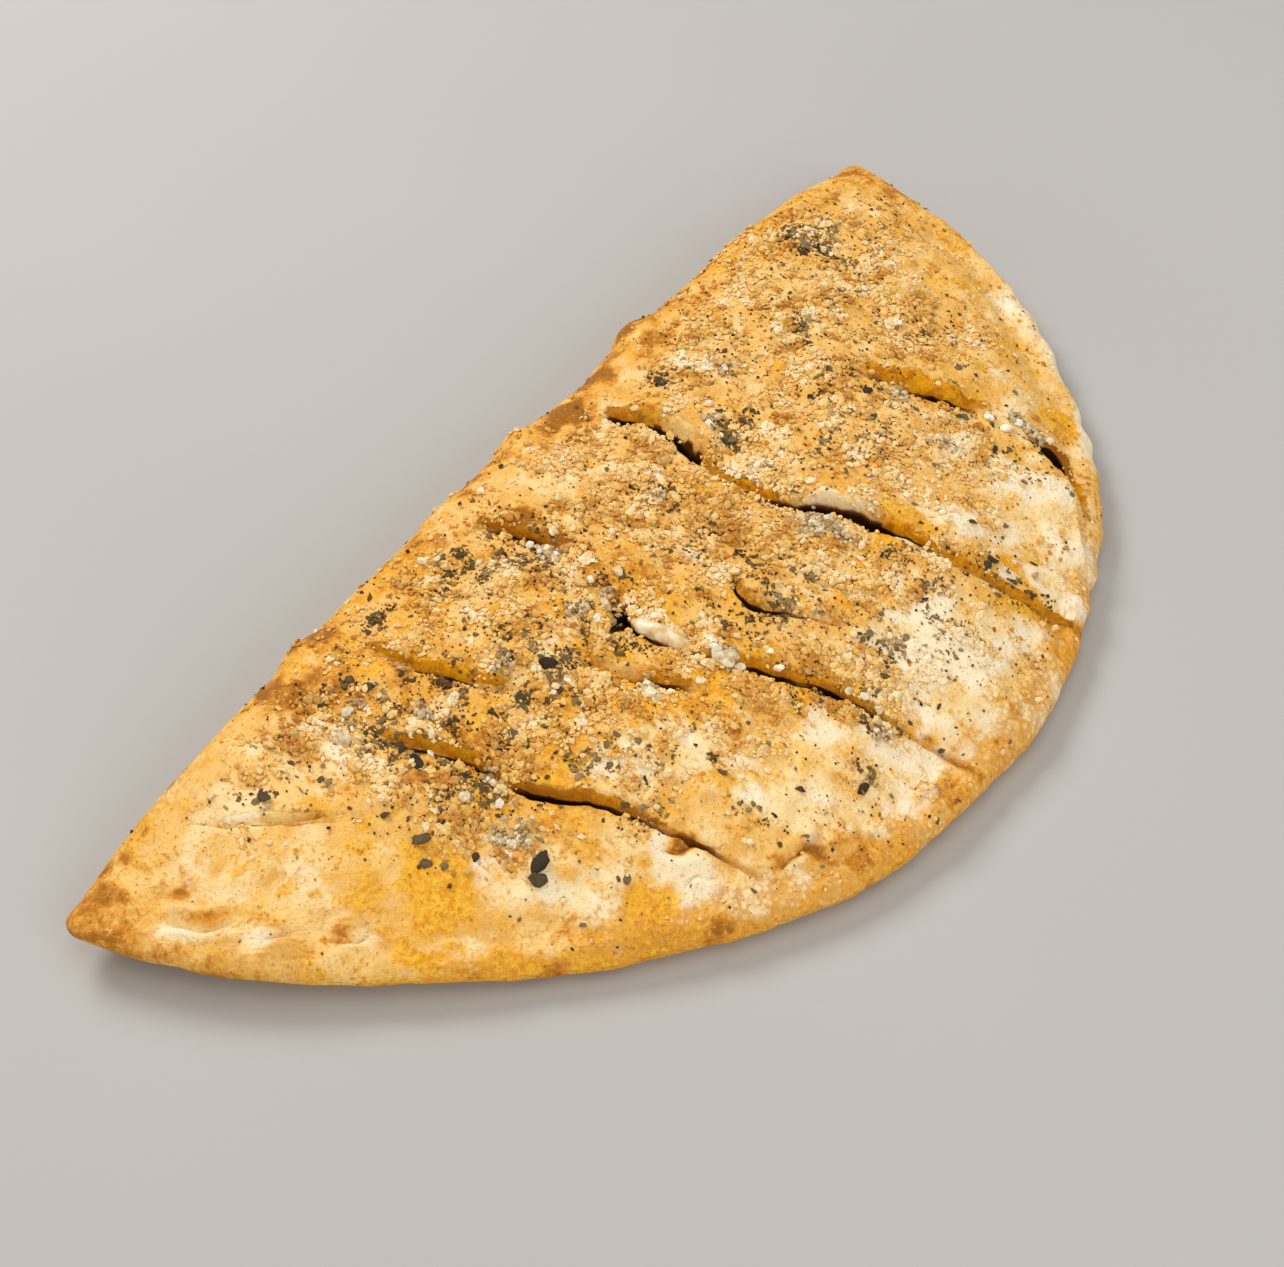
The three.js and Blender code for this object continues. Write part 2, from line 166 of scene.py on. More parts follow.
# ---------------------------------------------------------------------------------------
# slashes. Each row runs from the fold side to the rim side:
#   x, y, strength, lip height, run of the lip's bare face, gap width, gap depth,
#   and how cream and how brown the bare face is; cream near 1 adds a painted highlight
# ---------------------------------------------------------------------------------------
SLASHES = {
    "G": [(-138.5, -6, 0, 0.3, 1.6, 0.2, .4, .9, 0), (-136.4, -12, .6, 0.8, 2.0, 0.3, .5, 1, 0),
          (-130.6, -22.9, 1, 1.3, 2.6, 0.3, .7, 1, 0), (-123.9, -32.4, 1, 1.3, 2.6, 0.3, .8, .5, .3),
          (-116.3, -41.1, .45, 0.6, 1.8, 0.3, .8, .1, .6), (-110.6, -48.7, 0, 0.3, 1.6, 0.3, .5, .2, .5),
          (-106.6, -58, 0, 0, 2, 0.3, 0.5, 0, 0), (-103, -100, 0, 0, 2, .3, .5, 0, 0)],
    "F": [(-97, -25, 0, 0.5, 2.0, 0.4, 1, 0, .4), (-94.6, -36.7, .8, 1.3, 2.4, 0.5, 1.6, 0, .5),
          (-91.6, -45.6, 1, 1.9, 3.0, 0.6, 2.0, 0, .4), (-88.7, -55.5, 1, 1.8, 2.6, 0.6, 2.4, 0, .45),
          (-88.4, -65.7, .7, 1.0, 1.5, 0.6, 2.0, 0, .7), (-86.2, -74.9, 1, 1.5, 1.9, 1.1, 5.0, 0, .8),
          (-80.4, -87.2, 1, 1.4, 2.0, 0.8, 3.4, .1, .5), (-76.0, -101.4, .9, 0.6, 0.9, 0.6, 2.2, 0, .9),
          (-73.6, -110.3, .9, 0.4, 0.6, 0.7, 2.6, 0, .9), (-71.5, -119.1, .8, 0.3, 0.5, 0.4, 1.7, .1, .7),
          (-69.4, -127.8, .5, 0.2, 0.5, 0.4, 1.4, .1, .6), (-68, -136, 0, 0, 1.4, 0.3, 0.5, 0, 0)],
    "E": [(-77.5, -8, 0, .5, 2, .4, .6, 0, .4), (-76.1, -16.9, .7, 1.1, 2.2, 0.5, 1.4, 0, .4),
          (-73.8, -29.1, 1, 1.7, 3.0, 0.6, 1.9, 0, .15), (-71.1, -39.1, 1, 1.6, 2.8, 0.6, 1.9, .1, .15),
          (-66.5, -53.6, .3, 0.5, 1.2, 0.5, 1.0, 0, .5), (-63, -67, 0, .4, 2, .4, .6, 0, 0),
          (-58, -92, 0, 0, 2, .4, .6, 0, 0), (-53.5, -130, 0, 0, 2, .4, .6, 0, 0)],
    "E2": [(-53.5, -40, 0, .5, 2, .4, .6, 0, 0), (-51.8, -55, .2, .5, 2.0, .4, 1.0, 0, 0),
           (-50.1, -64.9, .9, 1.3, 3.0, 0.5, 1.1, .45, 0), (-48.2, -72.9, 1, 1.7, 3.1, 0.6, 1.7, .55, 0),
           (-45.2, -79.7, 1, 1.3, 2.0, 0.8, 3.0, 0, .3), (-41.6, -86.4, .55, 0.6, 1.2, 0.6, 2.0, 0, .5),
           (-39, -96, 0, .3, 1.6, .4, .6, 0, 0), (-36, -130, 0, 0, 2, .4, .6, 0, 0)],
    "D": [(-27.4, -5, 0, .6, 2.4, .4, 1, 0, .8), (-26.3, -14, .9, 1.5, 2.4, 0.7, 2.2, 0, .8),
          (-24.6, -23, 1, 2.0, 2.9, 0.8, 3.0, 0, .7), (-24.4, -30.5, 1, 1.5, 2.4, 0.7, 2.4, 0, .7),
          (-26.4, -38.6, .6, 0.9, 2.0, 0.6, 1.6, 0, .6), (-31.6, -52.8, .3, 0.4, 1.6, 0.5, 1.0, .1, .4),
          (-34.2, -57.2, .9, 0.8, 1.4, 1.2, 4.0, .2, .4), (-35.4, -60.4, 1, 1.2, 0.9, 7.2, 12.0, 0, .7),
          (-36.0, -64.0, 1, 1.2, 1.6, 2.2, 7.0, .6, .1), (-35.6, -67.6, 1, 1.9, 4.6, 0.8, 2.6, .9, 0),
          (-35.0, -73.6, 1, 2.0, 4.8, 0.7, 2.2, .9, 0), (-34.0, -79.6, 1, 1.4, 3.4, 0.7, 2.0, .6, .1),
          (-29.8, -92, 1, 1.1, 2.2, 1.0, 3.0, .1, .4), (-26.6, -99.9, .9, 1.0, 2.0, 1.2, 4.0, 0, .6),
          (-23.6, -106.6, .9, 0.9, 1.8, 0.7, 2.4, 0, .4), (-21.4, -113.4, 1, 1.1, 1.5, 1.4, 5.0, 0, .6),
          (-19.5, -118.6, 1, 1.0, 1.7, 0.9, 3.0, 0, .5), (-16.4, -130.8, .9, 0.4, 0.8, 0.5, 1.7, .1, .6),
          (-14.0, -138.8, .8, 0.35, 0.7, 0.5, 1.7, .1, .7), (-12.4, -147.8, .7, 0.3, 0.7, 0.5, 1.6, 0, .8),
          (-10.8, -158, .3, 0.2, 1.0, 0.4, 0.8, 0, .5)],
    "P": [(-3.0, -66, 0, .6, 2.0, .3, .6, 0, .2), (-6.6, -74.5, .9, 1.1, 2.2, 0.5, 1.8, 0, .4),
          (-10.9, -78.7, 1, 1.9, 2.8, 0.6, 3.0, 0, .3), (-12.6, -83.2, 1, 2.4, 3.4, 0.7, 3.6, 0, .3),
          (-11.5, -88.3, 1, 2.1, 3.2, 0.7, 3.6, 0, .3), (-8.1, -93.9, 1, 1.2, 2.2, 0.6, 2.4, 0, .4),
          (-4.1, -102, .8, 0.9, 2.0, 0.6, 1.6, .1, .2), (-1.2, -108.9, .6, 0.6, 1.8, 0.5, 1.2, .1, .2),
          (2.3, -115.5, .3, 0.3, 1.8, 0.4, .8, .1, 0), (5, -123, 0, .2, 2, .4, .6, 0, 0)],
    "C": [(25.2, -8, 0, .8, 3, .4, 1, 0, .6), (25.4, -17.1, .9, 1.9, 4.2, 0.8, 3.4, 0, .5),
          (26.6, -23.5, 1, 2.5, 4.8, 0.8, 4.0, .2, .3), (26.6, -30.2, 1, 3.1, 5.0, 1.1, 5.6, .5, .1),
          (26.0, -36, 1, 3.5, 5.2, 1.3, 5.5, .80, 0), (24.4, -41.2, 1, 3.4, 4.6, 1.9, 9.0, .6, 0),
          (22.4, -45.5, 1, 2.4, 3.6, 1.6, 6.5, .4, .2), (20.6, -50.0, .8, 1.1, 1.8, 0.45, 1.4, .1, .4),
          (20.6, -56.2, .9, 1.3, 2.0, 0.45, 1.4, 0, .3), (21.2, -64.0, 1, 1.9, 2.6, 0.5, 1.9, 0, .2),
          (21.6, -70.3, 1, 2.5, 3.2, 0.9, 3.6, .3, .1), (23.6, -76.0, 1, 2.9, 3.4, 2.1, 9.0, .9, 0),
          (27.6, -83.0, 1, 3.0, 3.2, 2.6, 11.0, .95, 0), (29.4, -90.0, 1, 2.8, 2.9, 2.3, 9.5, .9, 0),
          (31.2, -97.5, 1, 2.3, 2.2, 2.2, 9.0, .2, .2), (32.0, -105, 1, 1.5, 1.7, 1.0, 3.2, 0, .3),
          (32.2, -112.2, .8, 1.0, 1.6, 0.6, 1.8, .2, .2), (33.4, -118.8, .9, 1.1, 1.7, 0.6, 1.9, .1, .2),
          (37.6, -129.3, .9, 1.1, 1.8, 0.7, 2.0, 0, .3), (40.6, -138.7, .9, 1.0, 1.8, 0.6, 1.6, 0, .3),
          (42.6, -146.6, .8, 0.8, 1.6, 0.6, 1.6, 0, .8), (45.0, -156, .6, 0.4, 2.0, 0.5, 1.2, 0, .8)],
    "B": [(76.6, -54, 0, .6, 3.8, .4, 1, 0, .1), (78.4, -66.7, .9, 1.9, 4.2, 0.7, 2.6, 0, .1),
          (81.5, -75, 1, 2.6, 4.8, 0.6, 3.0, 0, 0), (83.4, -81.2, 1, 2.7, 4.4, 1.0, 5.0, 0, .05),
          (85.2, -86.9, .9, 1.8, 3.4, 0.7, 3.0, .1, .3), (89.4, -92.5, .5, 0.7, 2.4, 0.4, .8, .5, .1),
          (91.4, -98.5, .4, 0.2, 2.0, 0.4, .8, .8, 0), (90.4, -105.1, .7, -0.5, 2.0, 0.9, 1.8, .1, .6),
          (90.6, -110.4, 1, -1.0, 2.0, 2.0, 4.5, 0, .9), (90.0, -115.4, 1, -1.3, 2.2, 4.2, 8.5, 0, 1),
          (88.6, -119.0, .9, -1.0, 1.6, 1.2, 2.6, 0, .9), (84.3, -124.4, .7, -0.7, 1.2, 0.4, .9, .2, .3),
          (77.4, -129.6, .5, -0.5, 1.2, 0.4, .8, .3, .2), (68.5, -135.4, .3, -0.3, 1.4, 0.4, .7, .2, .1),
          (64, -142, 0, 0, 2, .5, .6, 0, 0)],
    "A": [(120.0, 0, 0, .5, 2, .5, .6, 0, .6), (119.8, -6.1, .6, 0.8, 2.0, 0.5, 1.0, 0, .8),
          (119.0, -14.1, .8, 1.1, 2.2, 0.6, 1.2, 0, .8), (118.3, -25.3, .9, 1.1, 2.4, 0.6, 1.3, 0, .7),
          (119.2, -35.4, .6, 0.8, 2.2, 0.5, 1.0, 0, .6), (121.3, -46, 0, .4, 2.2, .5, .8, 0, .4)],
}
ORDER = ["G", "F", "E", "E2", "D", "P", "C", "B", "A"]
LIP_RUN, DIP_RUN, DIP_PART = 13.0, 9.0, 0.34
BAND = 6.4                      # half width of the dense band of mesh lines along a slash

YG = np.arange(-180.0, 30.0, 0.1)


def hermite(ys, vs, y):
    """A smooth curve through (ys, vs), held constant past both ends."""
    order = np.argsort(ys)
    ys, vs = np.asarray(ys, float)[order], np.asarray(vs, float)[order]
    slope = np.zeros(len(ys))
    slope[1:-1] = (vs[2:] - vs[:-2]) / (ys[2:] - ys[:-2])
    y = np.clip(y, ys[0], ys[-1])
    i = np.clip(np.searchsorted(ys, y, side="right") - 1, 0, len(ys) - 2)
    h = ys[i + 1] - ys[i]
    t = (y - ys[i]) / h
    return ((2 * t ** 3 - 3 * t ** 2 + 1) * vs[i] + (t ** 3 - 2 * t ** 2 + t) * h * slope[i]
            + (3 * t ** 2 - 2 * t ** 3) * vs[i + 1] + (t ** 3 - t ** 2) * h * slope[i + 1])


# how boldly each slash's lip stands out and how wide its bare face is, against its rows, and
# how much of that face is free of seasoning
BOLD = {"G": (0.50, 0.50, 1), "F": (0.80, 0.60, 1), "E": (0.85, 0.62, 1), "E2": (0.75, 0.85, 1),
        "D": (0.76, 0.66, 0.85), "P": (0.62, 0.55, 0.25), "C": (0.90, 0.80, 1), "B": (0.90, 1.22, 1),
        "A": (0.40, 0.50, 0.1)}
CHANNELS = ("x", "s", "lip", "face", "gap", "depth", "cream", "brown", "c")


def slash_channels(name):
    rows = np.array(SLASHES[name])
    ys = rows[:, 1]
    seed = ORDER.index(name)
    x = hermite(ys, rows[:, 0], YG)
    s = np.clip(hermite(ys, rows[:, 2], YG), 0, 1)
    s = np.where((YG > ys.max()) | (YG < ys.min()), 0, s)
    # a cut wanders, and its edges are ragged
    x = x + s * (0.40 * noise3(YG / 6.0, seed * 3.1, 0, 21) + 0.16 * noise3(YG / 1.9, seed * 1.7, 0, 22))
    bold, broad, _ = BOLD[name]
    lip = bold * hermite(ys, rows[:, 3], YG) * (1 + 0.24 * noise3(YG / 7.5, seed * 2.3, 0, 24)
                                                + 0.20 * noise3(YG / 2.6, seed * 2.3, 0, 28))
    face = np.maximum(broad * hermite(ys, rows[:, 4], YG) * (1 + 0.26 * noise3(YG / 6.0, seed * 7.1, 0, 25)
                                                             + 0.16 * noise3(YG / 2.2, seed * 7.1, 0, 19)), 0.5)
    gap = np.maximum(hermite(ys, rows[:, 5], YG) * (1 + 0.34 * noise3(YG / 3.2, seed * 5.3, 0, 23)), 0.15)
    depth = np.maximum(hermite(ys, rows[:, 6], YG), 0.3)
    cream = np.clip(hermite(ys, rows[:, 7], YG), 0, 1)
    brown = np.clip(hermite(ys, rows[:, 8], YG), 0, 1)
    slope = np.gradient(hermite(ys, rows[:, 0], YG), YG)
    return dict(zip(CHANNELS, (x, s, lip, face, gap, depth, cream, brown, 1 / np.sqrt(1 + slope ** 2))))


TABLE = {name: slash_channels(name) for name in ORDER}


def at(name, channel, y):
    return np.interp(y, YG, TABLE[name][channel])


def slash_relief(name, x, y):
    """The broad rise on the lip's side and the dip on the near side, outside the band."""
    xs, s, lip, face, gap, c = (at(name, k, y) for k in ("x", "s", "lip", "face", "gap", "c"))
    d = (x - xs) * c
    far = lip * np.exp(-np.maximum(d - (gap / 2 + face + 1), 0) / LIP_RUN)
    near = -DIP_PART * lip * np.exp(-np.maximum(-d - gap / 2 - 0.7, 0) / DIP_RUN)
    return s * np.where(d > 0, far, near)


def section(name, near_room, far_room):
    """Across a slash, at every y of YG: offsets and heights of the mesh lines of its band,
    and how far each line belongs to the lip's bare face and to the inside."""
    t = TABLE[name]
    lip, face, gap, depth, s = t["lip"], t["face"], t["gap"], t["depth"], t["s"]
    g = gap / 2
    dip = -DIP_PART * lip
    low = dip - 0.15
    k = ORDER.index(name)
    rag = 0.22 * noise3(YG / 1.3, k * 3.3, 0, 26) + 0.20 * noise3(YG / 2.7, k * 1.3, 0, 27)
    crumb = 0.30 * noise3(YG / 1.7, k * 4.3, 0, 29)
    wn = np.minimum(BAND, near_room)
    wf = np.minimum(np.maximum(BAND, g + 0.60 + 1.06 * face + 2.0), far_room)
    f = np.minimum(face, np.maximum((wf - 1.5 - g) / 1.06, 0.4))
    top = g + 0.60 + 1.06 * f
    fn, ff = wn / BAND, np.minimum(wf / BAND, 1.0)
    rise = top - 3.85 * ff
    keys = [
        # flat offset, true offset, height, face, inside (the gap's brown and painted shade)
        (-wn, -wn, None, 0, 0),
        (-4.9 * fn, -wn + (wn - g - 1.6) * 0.36, None, 0, 0),
        (-3.5 * fn, -wn + (wn - g - 1.6) * 0.70, None, 0, 0),
        (-2.7 * fn, -g - 1.6, None, 0, 0),
        (-2.2 * fn, -g - 0.95 + rag * 0.5, dip - 0.02 + crumb * 0.5, 0, 0),
        (-1.85 * fn, -g - 0.48 + rag * 0.8, low - 0.05 + crumb, 0, 0.05),
        (-1.55 * fn, -g - 0.14 + rag, low - 0.40 + crumb * 0.7, 0, 0.25),
        (-1.28 * fn, -g + 0.04 + rag, low - 1.0, 0, 0.6),
        (-1.02 * fn, -g * 0.98 + 0.05, low - 0.30 * depth - 0.6, 0, 1.0),
        (-0.72 * fn, -g * 0.90, low - 0.62 * depth - 0.4, 0, 1.0),
        (-0.36 * fn, -g * 0.62, -0.93 * depth + dip, 0, 1.0),
        (0.0 * fn, 0 * g, -depth + dip, 0, 1.0),
        (0.36 * ff, g * 0.66 + 0.03, -0.93 * depth + dip, 0, 1.0),
        (0.72 * ff, g * 0.95 + 0.05, -0.66 * depth, 0.1, 1.0),
        (1.02 * ff, g + 0.06, -0.44 * depth, 0.3, 0.9),
        (1.30 * ff, g + 0.10 + 0.04 * f, -0.24 * depth - 0.25, 0.5, 0.95),
        (1.62 * ff, g + 0.15 + 0.11 * f, -0.15 * depth - 0.1, 1.0, 0.04),
        (1.98 * ff, g + 0.20 + 0.23 * f, 0.20 * lip - 0.03 * depth, 1.0, 0),
        (2.38 * ff, g + 0.25 + 0.40 * f, 0.52 * lip, 1.0, 0),
        (2.80 * ff, g + 0.30 + 0.61 * f, 0.78 * lip, 1.0, 0),
        (3.28 * ff, g + 0.40 + 0.84 * f, 0.94 * lip, 0.85, 0),
        (3.85 * ff, top, 1.0 * lip, 0.45, 0),
        (3.85 * ff + (wf - 3.85 * ff) * 0.34, top + (wf - top) * 0.32, None, 0.12, 0),
        (3.85 * ff + (wf - 3.85 * ff) * 0.66, top + (wf - top) * 0.65, None, 0, 0),
        (wf, wf, None, 0, 0),
    ]
    out = {"off": [], "h": [], "face": [], "in": []}
    for j, (flat, off, h, fm, im) in enumerate(keys):
        true = flat + (off - flat) * s
        knobs = fm * (0.26 * noise3(YG / 2.3, j * 0.45, 0, 36 + k) + 0.14 * noise3(YG / 1.2, j * 0.8, 0, 46 + k))
        if h is None:
            far = lip * np.exp(-np.maximum(true - (g + face + 1), 0) / LIP_RUN)
            near = dip * np.exp(-np.maximum(-true - g - 0.7, 0) / DIP_RUN)
            h = np.where(true > 0, far, near)
        out["off"].append(true)
        out["h"].append((h + knobs * np.minimum(lip, 2.0)) * s)
        out["face"].append(fm * smooth(0.1, 0.7, s) * smooth(0.05, 0.85, np.abs(lip)) * (0.35 + 0.65 * BOLD[name][2]) + 0 * g)
        out["in"].append(im * smooth(0.1, 0.7, s) * (0.12 + 0.88 * smooth(1.2, 5.0, depth)) * smooth(0.8, 1.3, depth) + 0 * g)
    return {k: np.array(v) for k, v in out.items()}


def make_sections():
    xs = [TABLE[n]["x"] * 1.0 for n in ORDER]
    out = {}
    for k, name in enumerate(ORDER):
        c = TABLE[name]["c"]
        near = 0.46 * (xs[k] - xs[k - 1]) * c if k else 99.0 + 0 * YG
        far = 0.50 * (xs[k + 1] - xs[k]) * c if k + 1 < len(ORDER) else 99.0 + 0 * YG
        out[name] = section(name, np.maximum(near, 3.0), np.maximum(far, 3.2))
    return out


SECTION = make_sections()
NBAND = len(SECTION["G"]["off"])

# soft creases: points, width, depth, and the low ridge that stands beside them
CREASES = [
    ([(-103, -10), (-102.2, -23), (-100.4, -38)], 1.3, 1.1, 0.8),
    ([(-160.2, -17.0), (-158.0, -22.5), (-155.6, -28.0), (-152.4, -32.0), (-148.6, -36.0)], 1.2, 1.5, 1.5),
    ([(-151.0, -40.5), (-148.0, -44.0), (-144.0, -47.5)], 1.1, 1.4, 1.2),
    ([(-141.5, -54.0), (-137.6, -59.0), (-132.8, -60.0)], 1.2, 1.5, 0.9),
    ([(-131.6, -62.0), (-134.6, -66.5), (-134.4, -73.0)], 1.3, 0.9, 0.6),
    ([(-134.5, -80.0), (-127.0, -89.0), (-117.5, -91.5)], 1.3, 1.5, 0.7),
    ([(-103.5, -112.0), (-95.5, -116.0)], 1.1, 1.1, 0.6),
    ([(-67.3, -126.4), (-61.7, -128.3), (-56.8, -131.6)], 0.8, 1.5, 0.9),
    ([(-79.0, -103.0), (-77.0, -107.5), (-73.0, -110.0)], 0.9, 1.6, 0.6),
    ([(54.5, -24.5), (63.0, -33.5), (69.5, -43.5)], 1.2, 0.7, 0.6),
    ([(-78.0, -117.0), (-81.0, -122.5)], 0.8, 1.5, 0.4),
    ([(-84.0, -110.0), (-79.0, -113.0), (-76.0, -119.0)], 0.9, 1.5, 0.8),
    ([(-30.0, -145.5), (-22.0, -147.5), (-15.0, -146.0)], 1.0, 0.9, 0.5),
    ([(6.0, -98.0), (13.0, -103.0), (17.0, -110.0)], 1.0, 0.6, 0.4),
    ([(-1.0, -24.0), (6.0, -31.0), (10.0, -41.0)], 1.4, 0.5, 0.4),
    ([(103.0, -86.0), (108.0, -92.0), (110.0, -99.0)], 1.2, 0.7, 0.4),
    ([(86.0, -30.0), (92.0, -36.0), (95.0, -46.0)], 1.4, 0.6, 0.4),
]
# steps: the side on the right of the line (seen along it) stands higher, with a rounded edge
STEPS = [
    ([(90.4, -109.0), (90.0, -115.0), (88.4, -119.6), (84.0, -124.8), (77.0, -130.0), (68.5, -135.6),
      (60.0, -141.0)], 2.2, 1.3, 9.0),
    ([(44.0, -143.5), (30.0, -148.0), (14.0, -149.0), (-2.0, -149.0)], 0.9, 2.0, 7.0),
    ([(-18.0, -146.5), (-36.0, -143.0), (-52.0, -138.0), (-64.0, -132.0)], 0.8, 2.0, 7.0),
    ([(-98.0, -114.0), (-110.0, -106.0), (-122.0, -95.0)], 0.7, 1.8, 7.0),
    ([(152.0, -40.0), (144.0, -60.0), (131.0, -79.0), (117.0, -95.0), (101.0, -109.0)], 0.5, 3.0, 9.0),
]


def polyline_field(points, x, y):
    """Signed distance to a polyline (positive on its left), place along it, and its length."""
    p = np.array(points, float)
    seg = p[1:] - p[:-1]
    length = np.hypot(seg[:, 0], seg[:, 1])
    start = np.concatenate([[0], np.cumsum(length)])
    best = np.full(np.shape(x), 1e9)
    sign = np.zeros(np.shape(x))
    along = np.zeros(np.shape(x))
    for i in range(len(seg)):
        rx, ry = x - p[i, 0], y - p[i, 1]
        t = np.clip((rx * seg[i, 0] + ry * seg[i, 1]) / length[i] ** 2, 0, 1)
        d = np.hypot(rx - t * seg[i, 0], ry - t * seg[i, 1])
        near = d < best
        best = np.where(near, d, best)
        sign = np.where(near, np.sign(seg[i, 0] * ry - seg[i, 1] * rx), sign)
        along = np.where(near, start[i] + t * length[i], along)
    return best * sign, along, start[-1]


def crease_relief(x, y):
    out = np.zeros(np.shape(x))
    wander = 0.7 * noise3(x / 4.0, y / 4.0, 0.0, 51)
    for points, width, depth, lip in CREASES:
        d, t, total = polyline_field(points, x, y)
        d = d + wander
        ends = min(0.3 * total, 7.0)
        fade = smooth(0, ends, t) * smooth(total, total - ends, t)
        out -= depth * fade * np.exp(-(d / width) ** 2)
        out += lip * fade * np.exp(-((np.abs(d) - 2.4 * width) / (1.5 * width)) ** 2)
    for points, height, width, run in STEPS:
        d, t, total = polyline_field(points, x, y)
        d = d + wander
        ends = min(0.3 * total, 12.0)
        fade = smooth(0, ends, t) * smooth(total, total - ends, t)
        high = smooth(0.6, -width, d) * np.exp(-np.maximum(-d - width, 0) / run)
        out += height * fade * (high - 0.25 * np.exp(-((d - 0.8) / 1.0) ** 2))
    return out


def crumbly(x, y):
    """1 where the baked top is rough and knobbly, less on the smooth left end and near the rim."""
    front = 0.30 + 0.70 * smooth(-146, -104, y)
    return smooth(-126, -98, x) * front * (1 - 0.6 * smooth(85, 130, x) * smooth(-50, -90, y))


def lumps(x, y):
    """Unevenness of baked dough, from broad swells down to small blisters."""
    rough = crumbly(x, y)
    z = 0.7 * np.sin(x / 17.0 + 0.6) * np.sin(y / 21.0 + 1.1) + 0.45 * np.sin(x / 9.5 - y / 13.0 + 2.0)
    z = z + 0.75 * fbm(x / 14.0, y / 14.0, 0.0, 31, 2) + 0.36 * noise3(x / 5.2, y / 5.2, 0.0, 32)
    z = z + (0.16 + 0.22 * rough) * noise3(x / 3.1, y / 3.1, 0.0, 33)
    z = z + (0.04 + 0.26 * rough) * noise3(x / 1.9, y / 1.9, 0.0, 35)
    # shallow rounded blisters
    cell = noise3(x / 4.2, y / 4.2, 0.0, 34)
    return z + 0.38 * smooth(0.35, 0.85, cell)


# knobs and blisters on the top: x, y, radius, height
BLISTERS = [
    (64.0, 3.0, 5.0, 1.8), (-24.0, 2.0, 7.0, 1.2), (-82.0, 2.0, 6.0, 1.2), (-152.0, -19.0, 2.0, 0.7),
    (-137.0, -55.0, 2.0, 0.8), (-27.0, -145.0, 4.0, 0.8), (8.0, -150.0, 4.0, 0.6), (-50.0, -141.0, 5.0, 0.7),
    (133.0, -60.0, 6.0, 0.8), (117.0, -78.0, 7.0, 0.7), (150.0, -12.0, 6.0, 0.6), (100.0, -40.0, 8.0, 0.8),
    (50.0, -70.0, 9.0, 0.9), (2.0, -40.0, 10.0, 1.0), (-60.0, -30.0, 8.0, 0.8), (-100.0, -60.0, 9.0, 0.6),
    (60.0, -110.0, 10.0, 0.8), (10.0, -110.0, 12.0, 0.8), (-50.0, -110.0, 12.0, 0.7), (-5.2, -84.5, 4.2, 1.5),
    (-16.0, -28.0, 6.0, 1.0), (-86.0, -124.0, 4.0, 0.8), (-128.0, -45.0, 11.0, 0.9), (-113.0, -80.0, 9.0, 0.7),
    (30.0, -8.0, 7.0, 1.0), (80.0, -14.0, 9.0, 0.8), (136.0, -36.0, 8.0, 0.6), (-1.0, -140.0, 8.0, 0.6),
    (103.0, -98.0, 6.0, 0.6), (70.0, -120.0, 8.0, 0.6), (-145.0, -33.0, 8.0, 0.6), (0.0, -9.0, 6.0, 0.7),
]


def share(a, b):
    a, b = np.maximum(a, 0), np.maximum(b, 0)
    return a / np.maximum(a + b, 1e-6)


def mid_height(x, y, a, b):
    return np.minimum(RIM_MID + (FOLD_MID - RIM_MID) * share(a, b), 0.5 * crown(x, y, a, b))


def edge_round(e, a, b, rim, fold):
    r = rim + (fold - rim) * share(a, b)
    return np.sqrt(np.maximum(1 - (1 - np.minimum(np.maximum(e, 0) / r, 1)) ** 2, 0))


def rim_sway(x, y):
    """The edge line rises and falls a little."""
    a = np.arctan2(x, ARC_CENTRE_Y - y)
    s = a * ARC_RADIUS
    return (0.55 * noise3(s / 14.0, 1.1, 0.4, 41) + 0.30 * noise3(s / 5.0, 1.1, 0.4, 42)) * smooth(0, -20, y)


def band_width(x, y):
    """Width of the sealed band: it is uneven, and fades out in places."""
    a = np.arctan2(x, ARC_CENTRE_Y - y)
    s = a * ARC_RADIUS
    return 7.4 + 1.8 * noise3(s / 21.0, 5.1, 0.4, 43) + 0.9 * noise3(s / 8.0, 5.1, 0.4, 44)


def slash_fade(e):
    """Slashes grow shallow over the sealed rim and end at its edge."""
    return (0.15 + 0.85 * smooth(0.5, 11, e)) * smooth(0, 1.0, e)


def top_height(x, y, skip=None, detail=True):
    """Height of the baked top. skip: the slash whose own relief is added by its section."""
    a, b = rim_gap(x, y), fold_gap(x, y)
    e = np.maximum(edge_gap(x, y, a, b), 0)
    q = edge_round(e, a, b, RIM_ROUND, FOLD_ROUND)
    relief = 0.0
    for name in ORDER:
        if name != skip:
            relief = relief + slash_relief(name, x, y)
    relief = relief * slash_fade(e)
    if detail:
        relief = relief + lumps(x, y) * (0.40 + 0.60 * smooth(0, 9, e)) * smooth(0, 2, e) + crease_relief(x, y) * smooth(0.3, 3.5, e)
        crusty = smooth(14, 5, a) * smooth(0, 1.5, e)
        relief = relief + crusty * (0.34 * noise3(x / 2.2, y / 2.2, 0.0, 37) + 0.30 * noise3(x / 3.8, y / 3.8, 0.0, 38))
        for bx, by, br, bh in BLISTERS:
            relief = relief + bh * np.exp(-(((x - bx) ** 2 + (y - by) ** 2) / br ** 2))
    z = crown(x, y, a, b, band_width(x, y) if detail else 8.0) + relief
    m = mid_height(x, y, a, b)
    return m + (z - m) * q + tip_lift(x) + rim_sway(x, y) * smooth(14, 0, e)


